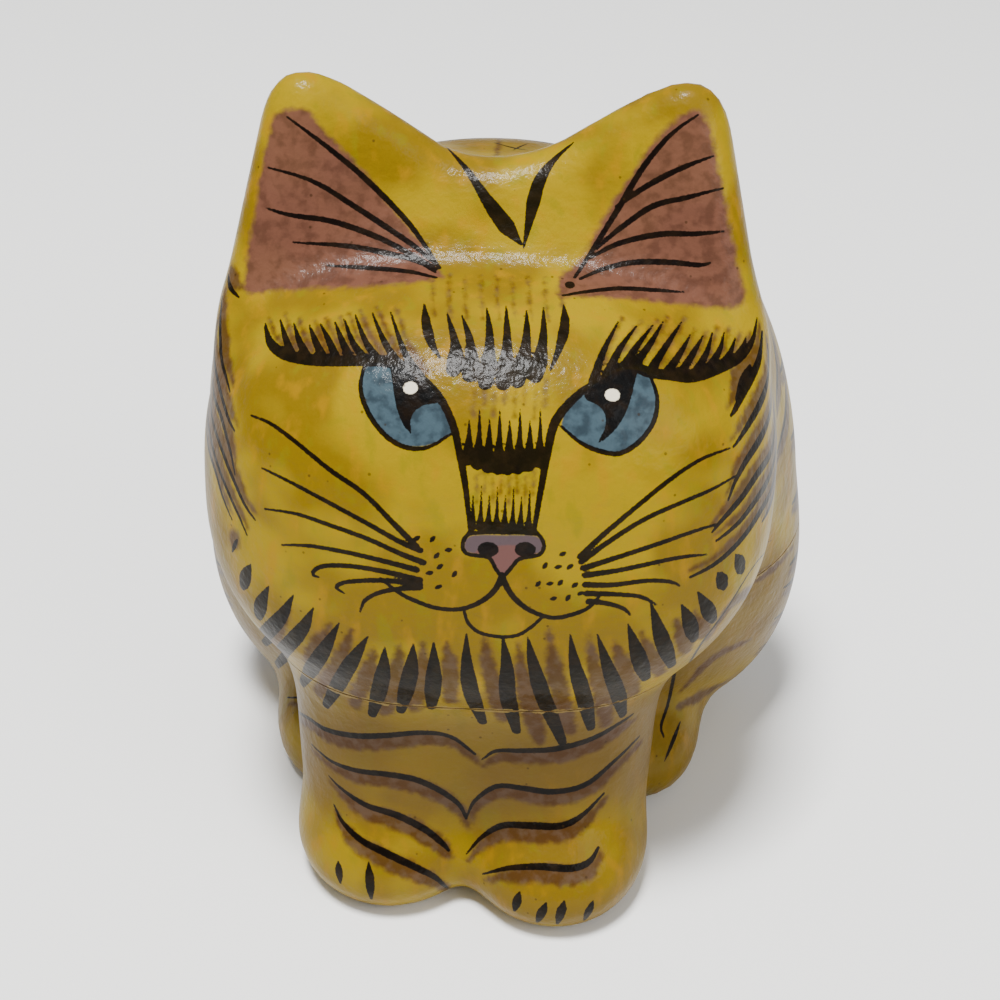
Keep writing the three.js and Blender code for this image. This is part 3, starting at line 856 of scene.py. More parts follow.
@dataclass(frozen=True)
class BodyPaint:
    """The paint below the chin, on the paws, the sides and the back; widths in mm."""

    beard: tuple[float, ...] = (0.25, 1.50, 2.50, 2.60, 1.50)
    beard_brown: tuple[float, ...] = (0.40, 1.90, 3.00, 3.20, 2.20)
    stripe: tuple[float, ...] = (0.30, 0.95, 1.25, 1.10, 0.50)
    stripe_wash: tuple[float, ...] = (0.6, 2.6, 3.4, 2.9, 1.2)
    claw: tuple[float, ...] = (0.25, 1.60, 1.50, 0.45)
    stripe_shift: tuple[float, float] = (0.3, -1.1)
    crease: tuple[float, ...] = (0.2, 0.45, 0.8, 0.7, 0.4)
    crease_low: tuple[float, ...] = (0.3, 0.9, 0.8, 0.2)
    haunch_shade: tuple[float, ...] = (0.8, 2.4, 2.8, 1.2)
    spine: Path = ((0.0, 101.0), (0.3, 80.0), (-0.3, 55.0), (0.2, 25.0))
    spine_width: tuple[float, ...] = (0.3, 1.2, 1.4, 1.2, 0.3)
    back_rows: int = 7
    back_top: float = 92.0
    back_drop: float = 12.5
    back_reach: float = 33.0
    back_narrows: float = 1.6
    back_start: float = 2.2
    back_stagger: float = 0.8
    wide: float = 1.5
    head_rows: int = 3
    head_top: float = 92.0
    head_drop: float = 8.5
    head_slant: float = 0.5
    head_path: Path = ((6.0, 0.0), (1.0, -5.0), (-6.0, -8.0))
    head_scale: float = 1.25
    flank_rows: int = 4
    flank_top: float = 84.0
    flank_drop: float = 13.0
    flank_path: Path = ((28.0, 0.0), (20.0, -5.5), (11.0, -8.0), (3.5, -7.0))
    haunch_rows: int = 3
    haunch_low: float = 14.0
    haunch_rise: float = 7.0
    haunch_path: Path = ((2.0, 6.0), (9.0, 3.0), (17.0, -2.0), (22.0, -9.0))
    haunch_scale: float = 1.3

    def banded(self, path: Path, side: Side = Side.FACE, scale: float = 1.0) -> list[Stroke]:
        """Returns a dark line with its brown wash below.

        Args:
            path: the line's path on its board.
            side: the board.
            scale: how much wider than on the chest it is.
        """
        wide = tuple(width * scale for width in self.stripe)
        wash = tuple(width * scale for width in self.stripe_wash)
        right, up = self.stripe_shift
        shade = moved(path, right, up * scale)
        return [Stroke(path, wide, Coat.INK, side), Stroke(shade, wash, Coat.WASH, side)]

    def chest(self) -> list[Stroke]:
        """Returns the beard, the stripes of the chest and the claws."""
        marks = spread_strokes(BEARD, self.beard)
        marks += spread_strokes(BEARD_BROWN, self.beard_brown, Coat.WASH)
        for path in CHEST:
            marks += self.banded(path)
        marks += spread_strokes(PAW, self.claw)
        marks += [Stroke(CREASE[0], self.crease), Stroke(CREASE[1], self.crease_low)]
        return marks + spread_strokes(HAUNCH_SHADE, self.haunch_shade, Coat.WASH)

    def back(self) -> list[Stroke]:
        """Returns the plain stripes of the back, on both sides of the spine."""
        marks = [Stroke(self.spine, self.spine_width, Coat.WASH, Side.BACK)]
        for row in range(self.back_rows):
            top = self.back_top - self.back_drop * row
            reach = self.back_reach - self.back_narrows * abs(row - self.back_rows // 2)
            start = self.back_start + self.back_stagger * (row % 2)
            path = ((start, top), (start + 0.35 * reach, top - 1.0), (start + 0.7 * reach, top - 5.0),
                    (reach, top - 12.0))
            for side in (-1, 1):
                marks += self.banded(tuple((side * u, v) for u, v in path), Side.BACK, self.wide)
        return marks

    def flanks(self) -> list[Stroke]:
        """Returns the stripes of the head's sides, the flanks and the haunches."""
        marks = []
        for side, turn in ((Side.LEFT, 1.0), (Side.RIGHT, -1.0)):
            for row in range(self.head_rows):
                first, *rest = moved(self.head_path, 0.0, self.head_top - self.head_drop * row)
                path = ((first[0] + self.head_slant * row, first[1]), *rest)
                marks += self.banded(tuple((turn * u, v) for u, v in path), side, self.head_scale)
            for row in range(self.flank_rows):
                path = moved(self.flank_path, 0.0, self.flank_top - self.flank_drop * row)
                marks += self.banded(tuple((turn * u, v) for u, v in path), side, self.wide)
            for row in range(self.haunch_rows):
                path = moved(self.haunch_path, 0.0, self.haunch_low + self.haunch_rise * row)
                marks += self.banded(tuple((turn * u, v) for u, v in path), side, self.haunch_scale)
        return marks


@dataclass
class Painting:
    """All the paint on the cat: strokes and patches, carried on to its skin."""

    form: CatForm
    reach: float = 4.0
    finest: float = 0.30
    coarsest: float = 0.85
    growth: float = 0.55
    plain: float = 2.2
    step: float = 0.9
    bleed: float = 1.5
    facing: float = 0.1
    patch_edge: float = 0.7
    strokes: list[Stroke] = field(default_factory=list)
    patches: list[Patch] = field(default_factory=list)
    lines: list[tuple[Stroke, Points, Points]] = field(default_factory=list)

    def draw(self, strokes: Sequence[Stroke]) -> None:
        """Adds strokes to the painting."""
        self.strokes += list(strokes)

    def fill(self, patches: Sequence[Patch]) -> None:
        """Adds patches to the painting."""
        self.patches += list(patches)

    def carry(self) -> None:
        """Carries every stroke from its board on to the skin."""
        for side in Side:
            drawn = [stroke for stroke in self.strokes if stroke.side is side]
            if not drawn:
                continue
            curves = [curve_through(np.array(stroke.path), self.step) for stroke in drawn]
            places = side.value.carry(self.form, np.vstack([curve for curve, _ in curves]))
            start = 0
            for stroke, (curve, shares) in zip(drawn, curves):
                line = places[start : start + len(curve)]
                start += len(curve)
                ends = np.linspace(0.0, 1.0, len(stroke.widths))
                self.lines.append((stroke, line, np.interp(shares, ends, stroke.widths) / 2))

    def cover(self, points: Points, outward: Points) -> tuple[dict[Coat, Points], Points]:
        """Works out the paint at points of the skin.

        Args:
            points: places on the skin, in mm.
            outward: the unit normals there.

        Returns:
            For each coat how far inside its edge each point lies, in mm; and how long a mesh edge
            may be there.
        """
        layers = {coat: np.full(len(points), -self.bleed) for coat in Coat}
        allowed = np.full(len(points), self.plain)
        for stroke, line, halves in self.lines:
            low, high = line.min(0) - self.reach, line.max(0) + self.reach
            rows = np.nonzero(((points > low) & (points < high)).all(1))[0]
            if len(rows) == 0:
                continue
            value, half = self.beside(points[rows], line, halves)
            layers[stroke.coat][rows] = np.maximum(layers[stroke.coat][rows], value)
            finest = self.finest if stroke.coat is Coat.INK else self.coarsest
            self.tighten(allowed, rows, value, np.clip(half, finest, self.coarsest))
        for patch in self.patches:
            rows, value = self.within(patch, points, outward)
            layers[patch.coat][rows] = np.maximum(layers[patch.coat][rows], value)
            self.tighten(allowed, rows, value, np.full(len(rows), self.coarsest * self.patch_edge))
        return {coat: np.clip(value, -self.bleed, self.bleed) for coat, value in layers.items()}, allowed

    def tighten(self, allowed: Points, rows: Points, value: Points, fine: Points) -> None:
        """Shortens the allowed edges near the edge of some paint."""
        length = fine + self.growth * np.maximum(np.abs(value) - fine, 0.0)
        allowed[rows] = np.minimum(allowed[rows], length)

    def beside(self, points: Points, line: Points, halves: Points) -> tuple[Points, Points]:
        """Returns how far inside a stroke's edge points lie, and its half width next to them."""
        best = np.full(len(points), -FAR)
        width = np.zeros(len(points))
        for start, end, half_start, half_end in zip(line[:-1], line[1:], halves[:-1], halves[1:]):
            span = end - start
            along = np.clip((points - start) @ span / max(float(span @ span), TINY), 0.0, 1.0)
            gap = np.linalg.norm(points - start - along[:, None] * span, axis=1)
            half = half_start + (half_end - half_start) * along
            width = np.where(half - gap > best, half, width)
            best = np.maximum(best, half - gap)
        return best, width

    def within(self, patch: Patch, points: Points, outward: Points) -> tuple[Points, Points]:
        """Returns which points lie near a patch, and how far inside its edge they are."""
        board = patch.side.value
        outline, _ = curve_through(np.array(patch.outline), self.step, closed=True)
        depth = (board.carry(self.form, outline) @ board.into()).max() + self.reach
        flat = board.flat(points)
        near = ((flat > outline.min(0) - self.reach) & (flat < outline.max(0) + self.reach)).all(1)
        rows = np.nonzero(near & (points @ board.into() < depth) & (outward @ board.into() < self.facing))[0]
        places = flat[rows]
        gap = np.full(len(rows), FAR)
        inside = np.zeros(len(rows), bool)
        for start, end in zip(outline, np.roll(outline, -1, 0)):
            span = end - start
            along = np.clip((places - start) @ span / max(float(span @ span), TINY), 0.0, 1.0)
            gap = np.minimum(gap, np.linalg.norm(places - start - along[:, None] * span, axis=1))
            crosses = (start[1] > places[:, 1]) != (end[1] > places[:, 1])
            rise = end[1] - start[1] if end[1] != start[1] else TINY
            inside ^= crosses & (places[:, 0] < start[0] + span[0] * (places[:, 1] - start[1]) / rise)
        return rows, np.where(inside, gap, -gap)


def places_of(bm: bmesh.types.BMesh) -> Points:
    """Returns the places of a mesh's vertices."""
    return np.array([vertex.co[:] for vertex in bm.verts])


def set_places(bm: bmesh.types.BMesh, points: Points) -> None:
    """Moves a mesh's vertices to new places."""
    for vertex, place in zip(bm.verts, points):
        vertex.co = place


def edge_ends(bm: bmesh.types.BMesh) -> Points:
    """Returns the two vertex numbers of every edge."""
    bm.verts.index_update()
    return np.array([(edge.verts[0].index, edge.verts[1].index) for edge in bm.edges])


def split_edges(bm: bmesh.types.BMesh, chosen: Points) -> None:
    """Splits the chosen edges in half and cuts the faces back to triangles.

    Args:
        bm: the mesh.
        chosen: a flag for every edge.
    """
    edges = [edge for edge, wanted in zip(bm.edges, chosen) if wanted]
    bmesh.ops.subdivide_edges(bm, edges=edges, cuts=1, use_grid_fill=True)
    bmesh.ops.triangulate(bm, faces=[face for face in bm.faces if len(face.verts) > 3])


@dataclass
class Wrapping:
    """A ball shrunk on to a surface of the form, with its triangles evened out."""

    form: CatForm
    depth: float
    whole: bool
    subdivisions: int
    limits: tuple[float, ...]
    rounds: int = 3
    share: float = 0.4
    splits: int = 6

    def start_of(self, directions: Points) -> Points:
        """Returns where the rays start: from the heart of the cat towards its ears or paws."""
        spread = self.form.heart_spread
        start = np.array(self.form.heart) + np.stack(
            [spread[0] * directions[:, 0], spread[1] * directions[:, 2], spread[2] * directions[:, 2]], 1
        )
        return start * HEIGHT

    def even(self, bm: bmesh.types.BMesh) -> None:
        """Evens the triangles out along the surface."""
        ends = edge_ends(bm)
        first = np.concatenate([ends[:, 0], ends[:, 1]])
        second = np.concatenate([ends[:, 1], ends[:, 0]])
        points = places_of(bm)
        for _ in range(self.rounds):
            span = points[second] - points[first]
            pull = (span * span).sum(1)
            total = np.bincount(first, pull, len(points))
            shift = np.stack([np.bincount(first, span[:, axis] * pull, len(points)) for axis in range(3)], 1)
            shift /= total[:, None]
            _, slope = self.form.slope(points, self.whole)
            normal = slope / np.linalg.norm(slope, axis=1)[:, None]
            shift -= normal * (shift * normal).sum(1)[:, None]
            points = self.form.settle(points + shift * self.share, self.depth, self.whole)
        set_places(bm, points)

    def build(self) -> bmesh.types.BMesh:
        """Returns the closed mesh on the surface."""
        bm = bmesh.new()
        bmesh.ops.create_icosphere(bm, subdivisions=self.subdivisions, radius=1.0)
        directions = places_of(bm)
        directions /= np.linalg.norm(directions, axis=1)[:, None]
        starts = self.start_of(directions)
        set_places(bm, self.form.outermost(starts, directions, self.depth, self.whole))
        self.even(bm)
        for limit in self.limits:
            for _ in range(self.splits):
                ends = edge_ends(bm)
                points = places_of(bm)
                long = np.linalg.norm(points[ends[:, 0]] - points[ends[:, 1]], axis=1) > limit
                if not long.any():
                    break
                split_edges(bm, long)
                set_places(bm, self.form.settle(places_of(bm), self.depth, self.whole))
            self.even(bm)
        return bm


class Surface(Enum):
    """The surfaces of a piece; the value is the material's place on it."""

    PAINTED = 0
    LINED = 1
    EDGE = 2


@dataclass
class Half:
    """One half of the box: its outer skin, its lining, and what joins the two."""

    form: CatForm
    name: str
    node: str
    slot: str
    mesh: bmesh.types.BMesh = field(default_factory=bmesh.new)
    slack: float = 1.2
    enough: float = 0.002
    agreeing: float = 0.5

    def take(self, source: bmesh.types.BMesh, level: float, keep_above: bool, surface: Surface) -> None:
        """Cuts a wrapped surface at a level and adds the wanted side of it.

        Args:
            source: the wrapped surface, which is left as it is.
            level: the height of the cut, in mm.
            keep_above: whether the part above the level is kept.
            surface: which surface of the piece it becomes.
        """
        part = source.copy()
        normal = (0.0, 0.0, -1.0) if keep_above else (0.0, 0.0, 1.0)
        everything = part.verts[:] + part.edges[:] + part.faces[:]
        place = (0.0, 0.0, level)
        bmesh.ops.bisect_plane(part, geom=everything, plane_co=place, plane_no=normal, clear_outer=True)
        if surface is Surface.LINED:
            bmesh.ops.reverse_faces(part, faces=part.faces)
        for face in part.faces:
            face.material_index = surface.value
        shell = bpy.data.meshes.new(self.name + "_part")
        part.to_mesh(shell)
        part.free()
        self.mesh.from_mesh(shell)
        bpy.data.meshes.remove(shell)

    def rim(self, level: float, facing: float) -> None:
        """Closes the open edges that lie at one level with a flat rim.

        Args:
            level: the height of the rim, in mm.
            facing: 1 where the rim looks up and -1 where it looks down.
        """
        edges = [
            edge
            for edge in self.mesh.edges
            if edge.is_boundary and all(abs(vertex.co.z - level) < ON_LEVEL for vertex in edge.verts)
        ]
        made = bmesh.ops.triangle_fill(self.mesh, use_beauty=True, edges=edges, normal=(0.0, 0.0, facing))
        for face in made["geom"]:
            if isinstance(face, bmesh.types.BMFace):
                face.material_index = Surface.EDGE.value
                face.normal_update()
                if face.normal.z * facing < 0:
                    face.normal_flip()

    def refine(self, painting: Painting, levels: tuple[float, ...], most: int) -> None:
        """Splits the skin's edges until the paint's edges are sharp.

        Args:
            painting: the paint that the skin will carry.
            levels: the heights at which the skin is cut.
            most: how many rounds of splitting.
        """
        points = places_of(self.mesh)
        skin, allowed = self.needs(painting, points)
        for _ in range(most):
            ends = edge_ends(self.mesh)
            length = np.linalg.norm(points[ends[:, 0]] - points[ends[:, 1]], axis=1)
            limit = np.minimum(allowed[ends[:, 0]], allowed[ends[:, 1]]) * self.slack
            chosen = (length > limit) & skin[ends[:, 0]] & skin[ends[:, 1]]
            if chosen.sum() < len(ends) * self.enough:
                break
            split_edges(self.mesh, chosen)
            self.mesh.verts.ensure_lookup_table()
            added = self.mesh.verts[len(points) :]
            fresh = np.array([vertex.co[:] for vertex in added])
            rows = np.nonzero(self.form.distance(fresh) > ON_SKIN)[0]
            level = np.zeros(len(rows), bool)
            for height in levels:
                level |= np.abs(fresh[rows, 2] - height) < ON_LEVEL
            fresh[rows] = self.form.settle(fresh[rows], level=level)
            for vertex, place in zip(added, fresh):
                vertex.co = place
            fresh_skin, fresh_allowed = self.needs(painting, fresh)
            points = np.vstack([points, fresh])
            skin = np.concatenate([skin, fresh_skin])
            allowed = np.concatenate([allowed, fresh_allowed])

    def needs(self, painting: Painting, points: Points) -> tuple[Points, Points]:
        """Returns which points lie on the skin, and how long a mesh edge may be at each."""
        here, slope = self.form.slope(points)
        outward = slope / np.linalg.norm(slope, axis=1)[:, None]
        _, allowed = painting.cover(points, outward)
        return here > ON_SKIN, allowed

    def dress(self, painting: Painting, finishes: Sequence[bpy.types.Material]) -> bpy.types.Object:
        """Makes the piece's object, with its paint, normals and materials.

        Args:
            painting: the paint on the skin.
            finishes: the materials, one for each surface.

        Returns:
            The object, placed in the frame.
        """
        mesh = bpy.data.meshes.new(self.name)
        bmesh.ops.triangulate(self.mesh, faces=self.mesh.faces[:])
        self.mesh.to_mesh(mesh)
        mesh.validate()
        points = places_of(self.mesh)
        here, slope = self.form.slope(points)
        outward = slope / np.linalg.norm(slope, axis=1)[:, None]
        layers, _ = painting.cover(points, outward)
        for coat, value in layers.items():
            attribute = mesh.attributes.new(coat.value, "FLOAT", "POINT")
            attribute.data.foreach_set("value", value.astype(np.float32))
        _, inner = self.form.slope(points, whole=False)
        inward = -inner / np.linalg.norm(inner, axis=1)[:, None]
        self.place(mesh, points)
        self.smooth(mesh, outward, inward)
        for finish in finishes:
            mesh.materials.append(finish)
        piece = bpy.data.objects.new(self.name, mesh)
        bpy.context.scene.collection.objects.link(piece)
        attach(piece, "root")
        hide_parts(self.node)
        log.info("%s: %d triangles", self.name, len(mesh.polygons))
        return piece

    def place(self, mesh: bpy.types.Mesh, points: Points) -> None:
        """Moves the mesh from the form's millimetres into the frame, inside the node's box."""
        low, high = (np.array(corner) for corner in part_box(self.node))
        points = np.clip((self.fitted(points, high[2] / MM) + FORM_IN_FRAME) * MM, low, high)
        mesh.vertices.foreach_set("co", points.astype(np.float32).ravel())
        mesh.update()

    def fitted(self, points: Points, top: float) -> Points:
        """Returns the points as they are; the lid brings its ears' tips down to the top of the node's box."""
        return points

    def smooth(self, mesh: bpy.types.Mesh, outward: Points, inward: Points) -> None:
        """Shades the skin and the lining by the form's own slope, and leaves the rims flat.

        Args:
            mesh: the piece's mesh.
            outward: the skin's unit normals at the vertices.
            inward: the lining's unit normals at the vertices.
        """
        count = len(mesh.loops)
        corner = np.empty(count, np.int32)
        mesh.loops.foreach_get("vertex_index", corner)
        surface = np.empty(len(mesh.polygons), np.int32)
        mesh.polygons.foreach_get("material_index", surface)
        flat = np.empty(len(mesh.polygons) * 3)
        mesh.polygons.foreach_get("normal", flat)
        flat = np.repeat(flat.reshape(-1, 3), 3, axis=0)
        surface = np.repeat(surface, 3)
        normals = np.where((surface == Surface.PAINTED.value)[:, None], outward[corner], flat)
        agrees = (inward[corner] * flat).sum(1) > self.agreeing
        lined = (surface == Surface.LINED.value) & agrees
        normals = np.where(lined[:, None], inward[corner], normals)
        mesh.polygons.foreach_set("use_smooth", np.ones(len(mesh.polygons), bool))
        mesh.normals_split_custom_set(normals.tolist())


@dataclass
class Lid(Half):
    """The lid: the head, the ears and the back, hollow from the seam up."""

    name: str = "cat_lid"
    node: str = "lid"
    slot: str = "lid_lacquer"
    tips_from: float = 100.0

    def fitted(self, points: Points, top: float) -> Points:
        """Returns the points with the ears' tips brought down to the top of the node's box."""
        share = np.maximum(points[:, 2] - self.tips_from, 0.0) / (points[:, 2].max() - self.tips_from)
        return points - np.outer(share * (points[:, 2].max() - top), (0.0, 0.0, 1.0))

    def build(self, skin: bmesh.types.BMesh, lining: bmesh.types.BMesh) -> None:
        """Parts the lid from the wrapped surfaces and closes its rim."""
        floor = SEAM_HEIGHT + SEAM_GAP / 2
        self.take(skin, floor, True, Surface.PAINTED)
        self.take(lining, floor, True, Surface.LINED)
        self.rim(floor, -1.0)


@dataclass
class Base(Half):
    """The base: the chest, haunches, paws and tail, with the collar that the lid locates on."""

    name: str = "cat_base"
    node: str = "base"
    slot: str = "base_lacquer"
    steps: int = 160

    def section(self, height: float, depth: float) -> Points:
        """Returns the corners of the hollow's section at a height, the given depth below the skin."""
        angles = np.linspace(0.0, 2 * math.pi, self.steps, endpoint=False)
        directions = np.stack([np.cos(angles), np.sin(angles), np.zeros(self.steps)], 1)
        starts = np.tile((0.0, 0.0, height), (self.steps, 1))
        return self.form.outermost(starts, directions, depth, whole=False)

    def ring(self, section: Points, height: float) -> list[bmesh.types.BMEdge]:
        """Adds a ring of edges with the outline of a section, at a height."""
        made = bmesh.ops.create_circle(self.mesh, segments=self.steps, radius=1.0)["verts"]
        made.sort(key=lambda vertex: math.atan2(vertex.co.y, vertex.co.x) % (2 * math.pi - TINY))
        for vertex, place in zip(made, section):
            vertex.co = (place[0], place[1], height)
        ring = set(made)
        return [edge for edge in self.mesh.edges if edge.verts[0] in ring and edge.verts[1] in ring]

    def build(self, skin: bmesh.types.BMesh, lining: bmesh.types.BMesh) -> None:
        """Parts the base from the wrapped surfaces and stands the collar in it."""
        top = SEAM_HEIGHT - SEAM_GAP / 2
        ledge = top - LEDGE_DEPTH
        collar_top = SEAM_HEIGHT + COLLAR_RISE
        depth = WALL + COLLAR_CLEARANCE
        self.take(skin, top, False, Surface.PAINTED)
        self.take(lining, ledge, False, Surface.LINED)
        outside = self.section(SEAM_HEIGHT, depth)
        leaning = self.section(collar_top, depth)
        bore = self.section(SEAM_HEIGHT, depth + COLLAR_WALL)
        nearer = np.linalg.norm(leaning[:, :2], axis=1) < np.linalg.norm(outside[:, :2], axis=1)
        upper = np.where(nearer[:, None], leaning, outside)
        self.wall(self.ring(outside, top), self.ring(upper, collar_top), outward=True)
        self.wall(self.ring(bore, ledge), self.ring(bore, collar_top), outward=False)
        self.rim(top, 1.0)
        self.rim(collar_top, 1.0)
        self.rim(ledge, -1.0)

    def wall(self, low: list[Any], high: list[Any], outward: bool) -> None:
        """Joins two rings with an upright wall that faces away from or towards the middle."""
        made = bmesh.ops.bridge_loops(self.mesh, edges=low + high)["faces"]
        for face in made:
            face.material_index = Surface.LINED.value
            face.normal_update()
            centre = face.calc_center_median()
            if (face.normal.x * centre.x + face.normal.y * centre.y > 0) != outward:
                face.normal_flip()


def linear(code: str) -> tuple[float, float, float, float]:
    """Turns an sRGB hex colour into linear values."""
    channels = [int(code[place : place + 2], 16) / 255 for place in (1, 3, 5)]
    values = [value / 12.92 if value <= 0.04045 else ((value + 0.055) / 1.055) ** 2.4 for value in channels]
    return (values[0], values[1], values[2], 1.0)


@dataclass
class Nodes:
    """The node tree of one material."""

    tree: bpy.types.NodeTree

    def add(self, kind: str, settings: dict[str, Any] | None = None, **links: Any) -> bpy.types.Node:
        """Adds a node.

        Args:
            kind: the node's type, without its ShaderNode prefix.
            settings: its properties.
            links: values or sockets for its inputs, by name or, after an i, by number.

        Returns:
            The node.
        """
        node = self.tree.nodes.new("ShaderNode" + kind)
        for name, value in (settings or {}).items():
            setattr(node, name, value)
        for name, value in links.items():
            numbered = name[1:].isdigit()
            socket = node.inputs[int(name[1:]) if numbered else name.replace("_", " ")]
            if isinstance(value, bpy.types.NodeSocket):
                self.tree.links.new(value, socket)
            else:
                socket.default_value = value
        return node

    def noise(self, place: Any, grain: float, detail: float = 3.0) -> Any:
        """Returns a noise whose grain is given in mm."""
        return self.add("TexNoise", Vector=place, Scale=1.0 / (grain * MM), Detail=detail).outputs["Fac"]

    def ramp(self, value: Any, low: float, high: float, first: float = 0.0, last: float = 1.0) -> Any:
        """Returns the value eased from one range into another."""
        settings = {"interpolation_type": "SMOOTHSTEP"}
        return self.add("MapRange", settings, i0=value, i1=low, i2=high, i3=first, i4=last).outputs[0]

    def sum(self, first: Any, second: Any, kind: str = "ADD") -> Any:
        """Returns two values joined by arithmetic."""
        return self.add("Math", {"operation": kind}, i0=first, i1=second).outputs[0]

    def blend(self, share: Any, first: Any, second: Any) -> Any:
        """Returns two colours mixed by a share."""
        node = self.add("Mix", {"data_type": "RGBA"}, i0=share, i6=first, i7=second)
        return node.outputs[2]


@dataclass(frozen=True)
class Lacquer:
    """Hand-painted distemper colours under glossy varnish, on papier-mache.

    It gives the eye a warm yellow that varies with the brush, crisp black strokes, and a broken
    gloss where the varnish has crazed. Grain sizes are in mm.
    """

    name: str = "lacquered_tabby_paint"
    yellow: str = "#8A7300"
    ochre: str = "#6F5808"
    orange: str = "#946C02"
    green: str = "#6F6808"
    brown: str = "#3A2010"
    mauve: str = "#46332A"
    ink: str = "#050302"
    ink_thin: str = "#140C05"
    pink: str = "#5E3B30"
    pink_deep: str = "#4C2E26"
    iris: str = "#394951"
    iris_deep: str = "#27333A"
    nose: str = "#5F403C"
    grey: str = "#4A4044"
    glint: str = "#E0D7BE"
    dirt: str = "#2A1C08"
    # Lighter tone of the seam's lips: worn paint, and a painted highlight on the raised lips
    rub_and_sheen: str = "#7D6834"
    # Darker tan of the lower chest and the back: the body's own ochre, with painted shade on the chest under
    # the head
    tan: str = "#57421A"
    roughness: float = 0.36
    ior: float = 1.5
    specular: float = 0.05
    coat: float = 0.07
    coat_roughness: float = 0.10
    patch_grain: float = 16.0
    brush_grain: float = 3.0
    bristle: float = 0.5
    craze: float = 1.3
    speck_spacing: float = 3.2
    speck: float = 0.09
    speck_hides: float = 0.6
    bristle_stretch: float = 2.6
    wash_grain: float = 1.6
    wash_wobble: float = 0.25
    ink_wobble: float = 0.035
    thin_grain: float = 2.0
    swell_grain: float = 7.0
    swell: float = 2.5
    bump_strength: float = 0.8
    bump_depth: float = 0.20
    rub_and_sheen_grain: float = 1.8
    rub_and_sheen_least: float = 0.15
    rub_and_sheen_most: float = 0.75
    rub_and_sheen_hides: float = 0.75
    chest_from: float = 50.0
    chest_full: float = 36.0
    chest_tan_and_shade: float = 0.75
    paws_from: float = 24.0
    paws_full: float = 12.0
    paws_tan: float = 0.35
    back_from: float = 4.0
    back_full: float = 24.0
    back_tan: float = 0.65

    def paint(self, nodes: Nodes, place: Any) -> Any:
        """Returns the painted colour at a place, with a darker tan that is partly painted shade under the
        head.
        """
        wide = nodes.noise(place, self.patch_grain, 2.0)
        scale = (1.0, 1.0, self.bristle_stretch)
        brush = nodes.add("Mapping", {"vector_type": "TEXTURE"}, Vector=place, Scale=scale).outputs[0]
        streak = nodes.noise(brush, self.brush_grain, 4.0)
        colour = nodes.blend(nodes.ramp(wide, 0.40, 0.58), linear(self.yellow), linear(self.ochre))
        colour = nodes.blend(nodes.ramp(streak, 0.52, 0.75, 0.0, 0.55), colour, linear(self.orange))
        colour = nodes.blend(nodes.ramp(streak, 0.46, 0.30, 0.0, 0.45), colour, linear(self.green))
        parts = nodes.add("SeparateXYZ", Vector=place).outputs
        # From the chin down the chest the paint turns darker tan, partly the body's ochre and partly painted
        # shade under the head; the paws are kept lighter, and the back turns tan as the body's own colour
        low = nodes.ramp(parts["Z"], self.chest_from * MM, self.chest_full * MM, 0.0, self.chest_tan_and_shade)
        behind = nodes.ramp(parts["Y"], self.back_from * MM, self.back_full * MM, 0.0, self.back_tan)
        paws = nodes.ramp(parts["Z"], self.paws_from * MM, self.paws_full * MM, 1.0, self.paws_tan)
        share = nodes.sum(nodes.sum(low, paws, "MULTIPLY"), behind, "MAXIMUM")
        return nodes.blend(share, colour, linear(self.tan))

    def coat_share(self, nodes: Nodes, coat: Coat, wobble: Any, soft: float, amount: float) -> Any:
        """Returns how much of a coat covers the surface.

        Args:
            nodes: the node tree.
            coat: the layer of paint.
            wobble: an unevenness of the edge, in mm.
            soft: how soft its edge is, in mm.
            amount: how much it hides what lies below.
        """
        inside = nodes.add("Attribute", {"attribute_name": coat.value}).outputs["Fac"]
        return nodes.ramp(nodes.sum(inside, wobble), -soft, soft, 0.0, amount)

    def build(self) -> bpy.types.Material:
        """Returns the material."""
        material = bpy.data.materials.new(self.name)
        material.use_nodes = True
        nodes = Nodes(material.node_tree)
        shader = material.node_tree.nodes["Principled BSDF"]
        place = nodes.add("TexCoord").outputs["Object"]
        colour = self.paint(nodes, place)
        fine = nodes.noise(place, self.bristle, 2.0)
        wobble = nodes.ramp(fine, 0.3, 0.7, -self.ink_wobble, self.ink_wobble)
        coarse = nodes.noise(place, self.wash_grain, 3.0)
        rough_wobble = nodes.ramp(coarse, 0.3, 0.7, -self.wash_wobble, self.wash_wobble)
        thin = nodes.ramp(nodes.noise(place, self.thin_grain, 3.0), 0.40, 0.66)
        brown = nodes.blend(thin, linear(self.brown), linear(self.mauve))
        pink = nodes.blend(thin, linear(self.pink), linear(self.pink_deep))
        iris = nodes.blend(thin, linear(self.iris), linear(self.iris_deep))
        ink = nodes.blend(thin, linear(self.ink), linear(self.ink_thin))
        layers = (
            (Coat.WASH, brown, rough_wobble, 0.60, 0.85),
            (Coat.EAR, pink, rough_wobble, 0.60, 0.95),
            (Coat.IRIS, iris, wobble, 0.15, 1.0),
            (Coat.NOSE, linear(self.nose), wobble, 0.15, 1.0),
            (Coat.GREY, linear(self.grey), wobble, 0.20, 0.85),
            (Coat.INK, ink, wobble, 0.06, 0.98),
            (Coat.GLINT, linear(self.glint), wobble, 0.10, 1.0),
        )
        for coat, tint, edge, soft, amount in layers:
            colour = nodes.blend(self.coat_share(nodes, coat, edge, soft, amount), colour, tint)
        colour = self.age(nodes, place, colour)
        nodes.tree.links.new(colour, shader.inputs["Base Color"])
        shader.inputs["Roughness"].default_value = self.roughness
        shader.inputs["IOR"].default_value = self.ior
        shader.inputs["Specular IOR Level"].default_value = self.specular
        shader.inputs["Coat Weight"].default_value = self.coat
        shader.inputs["Coat Roughness"].default_value = self.coat_roughness
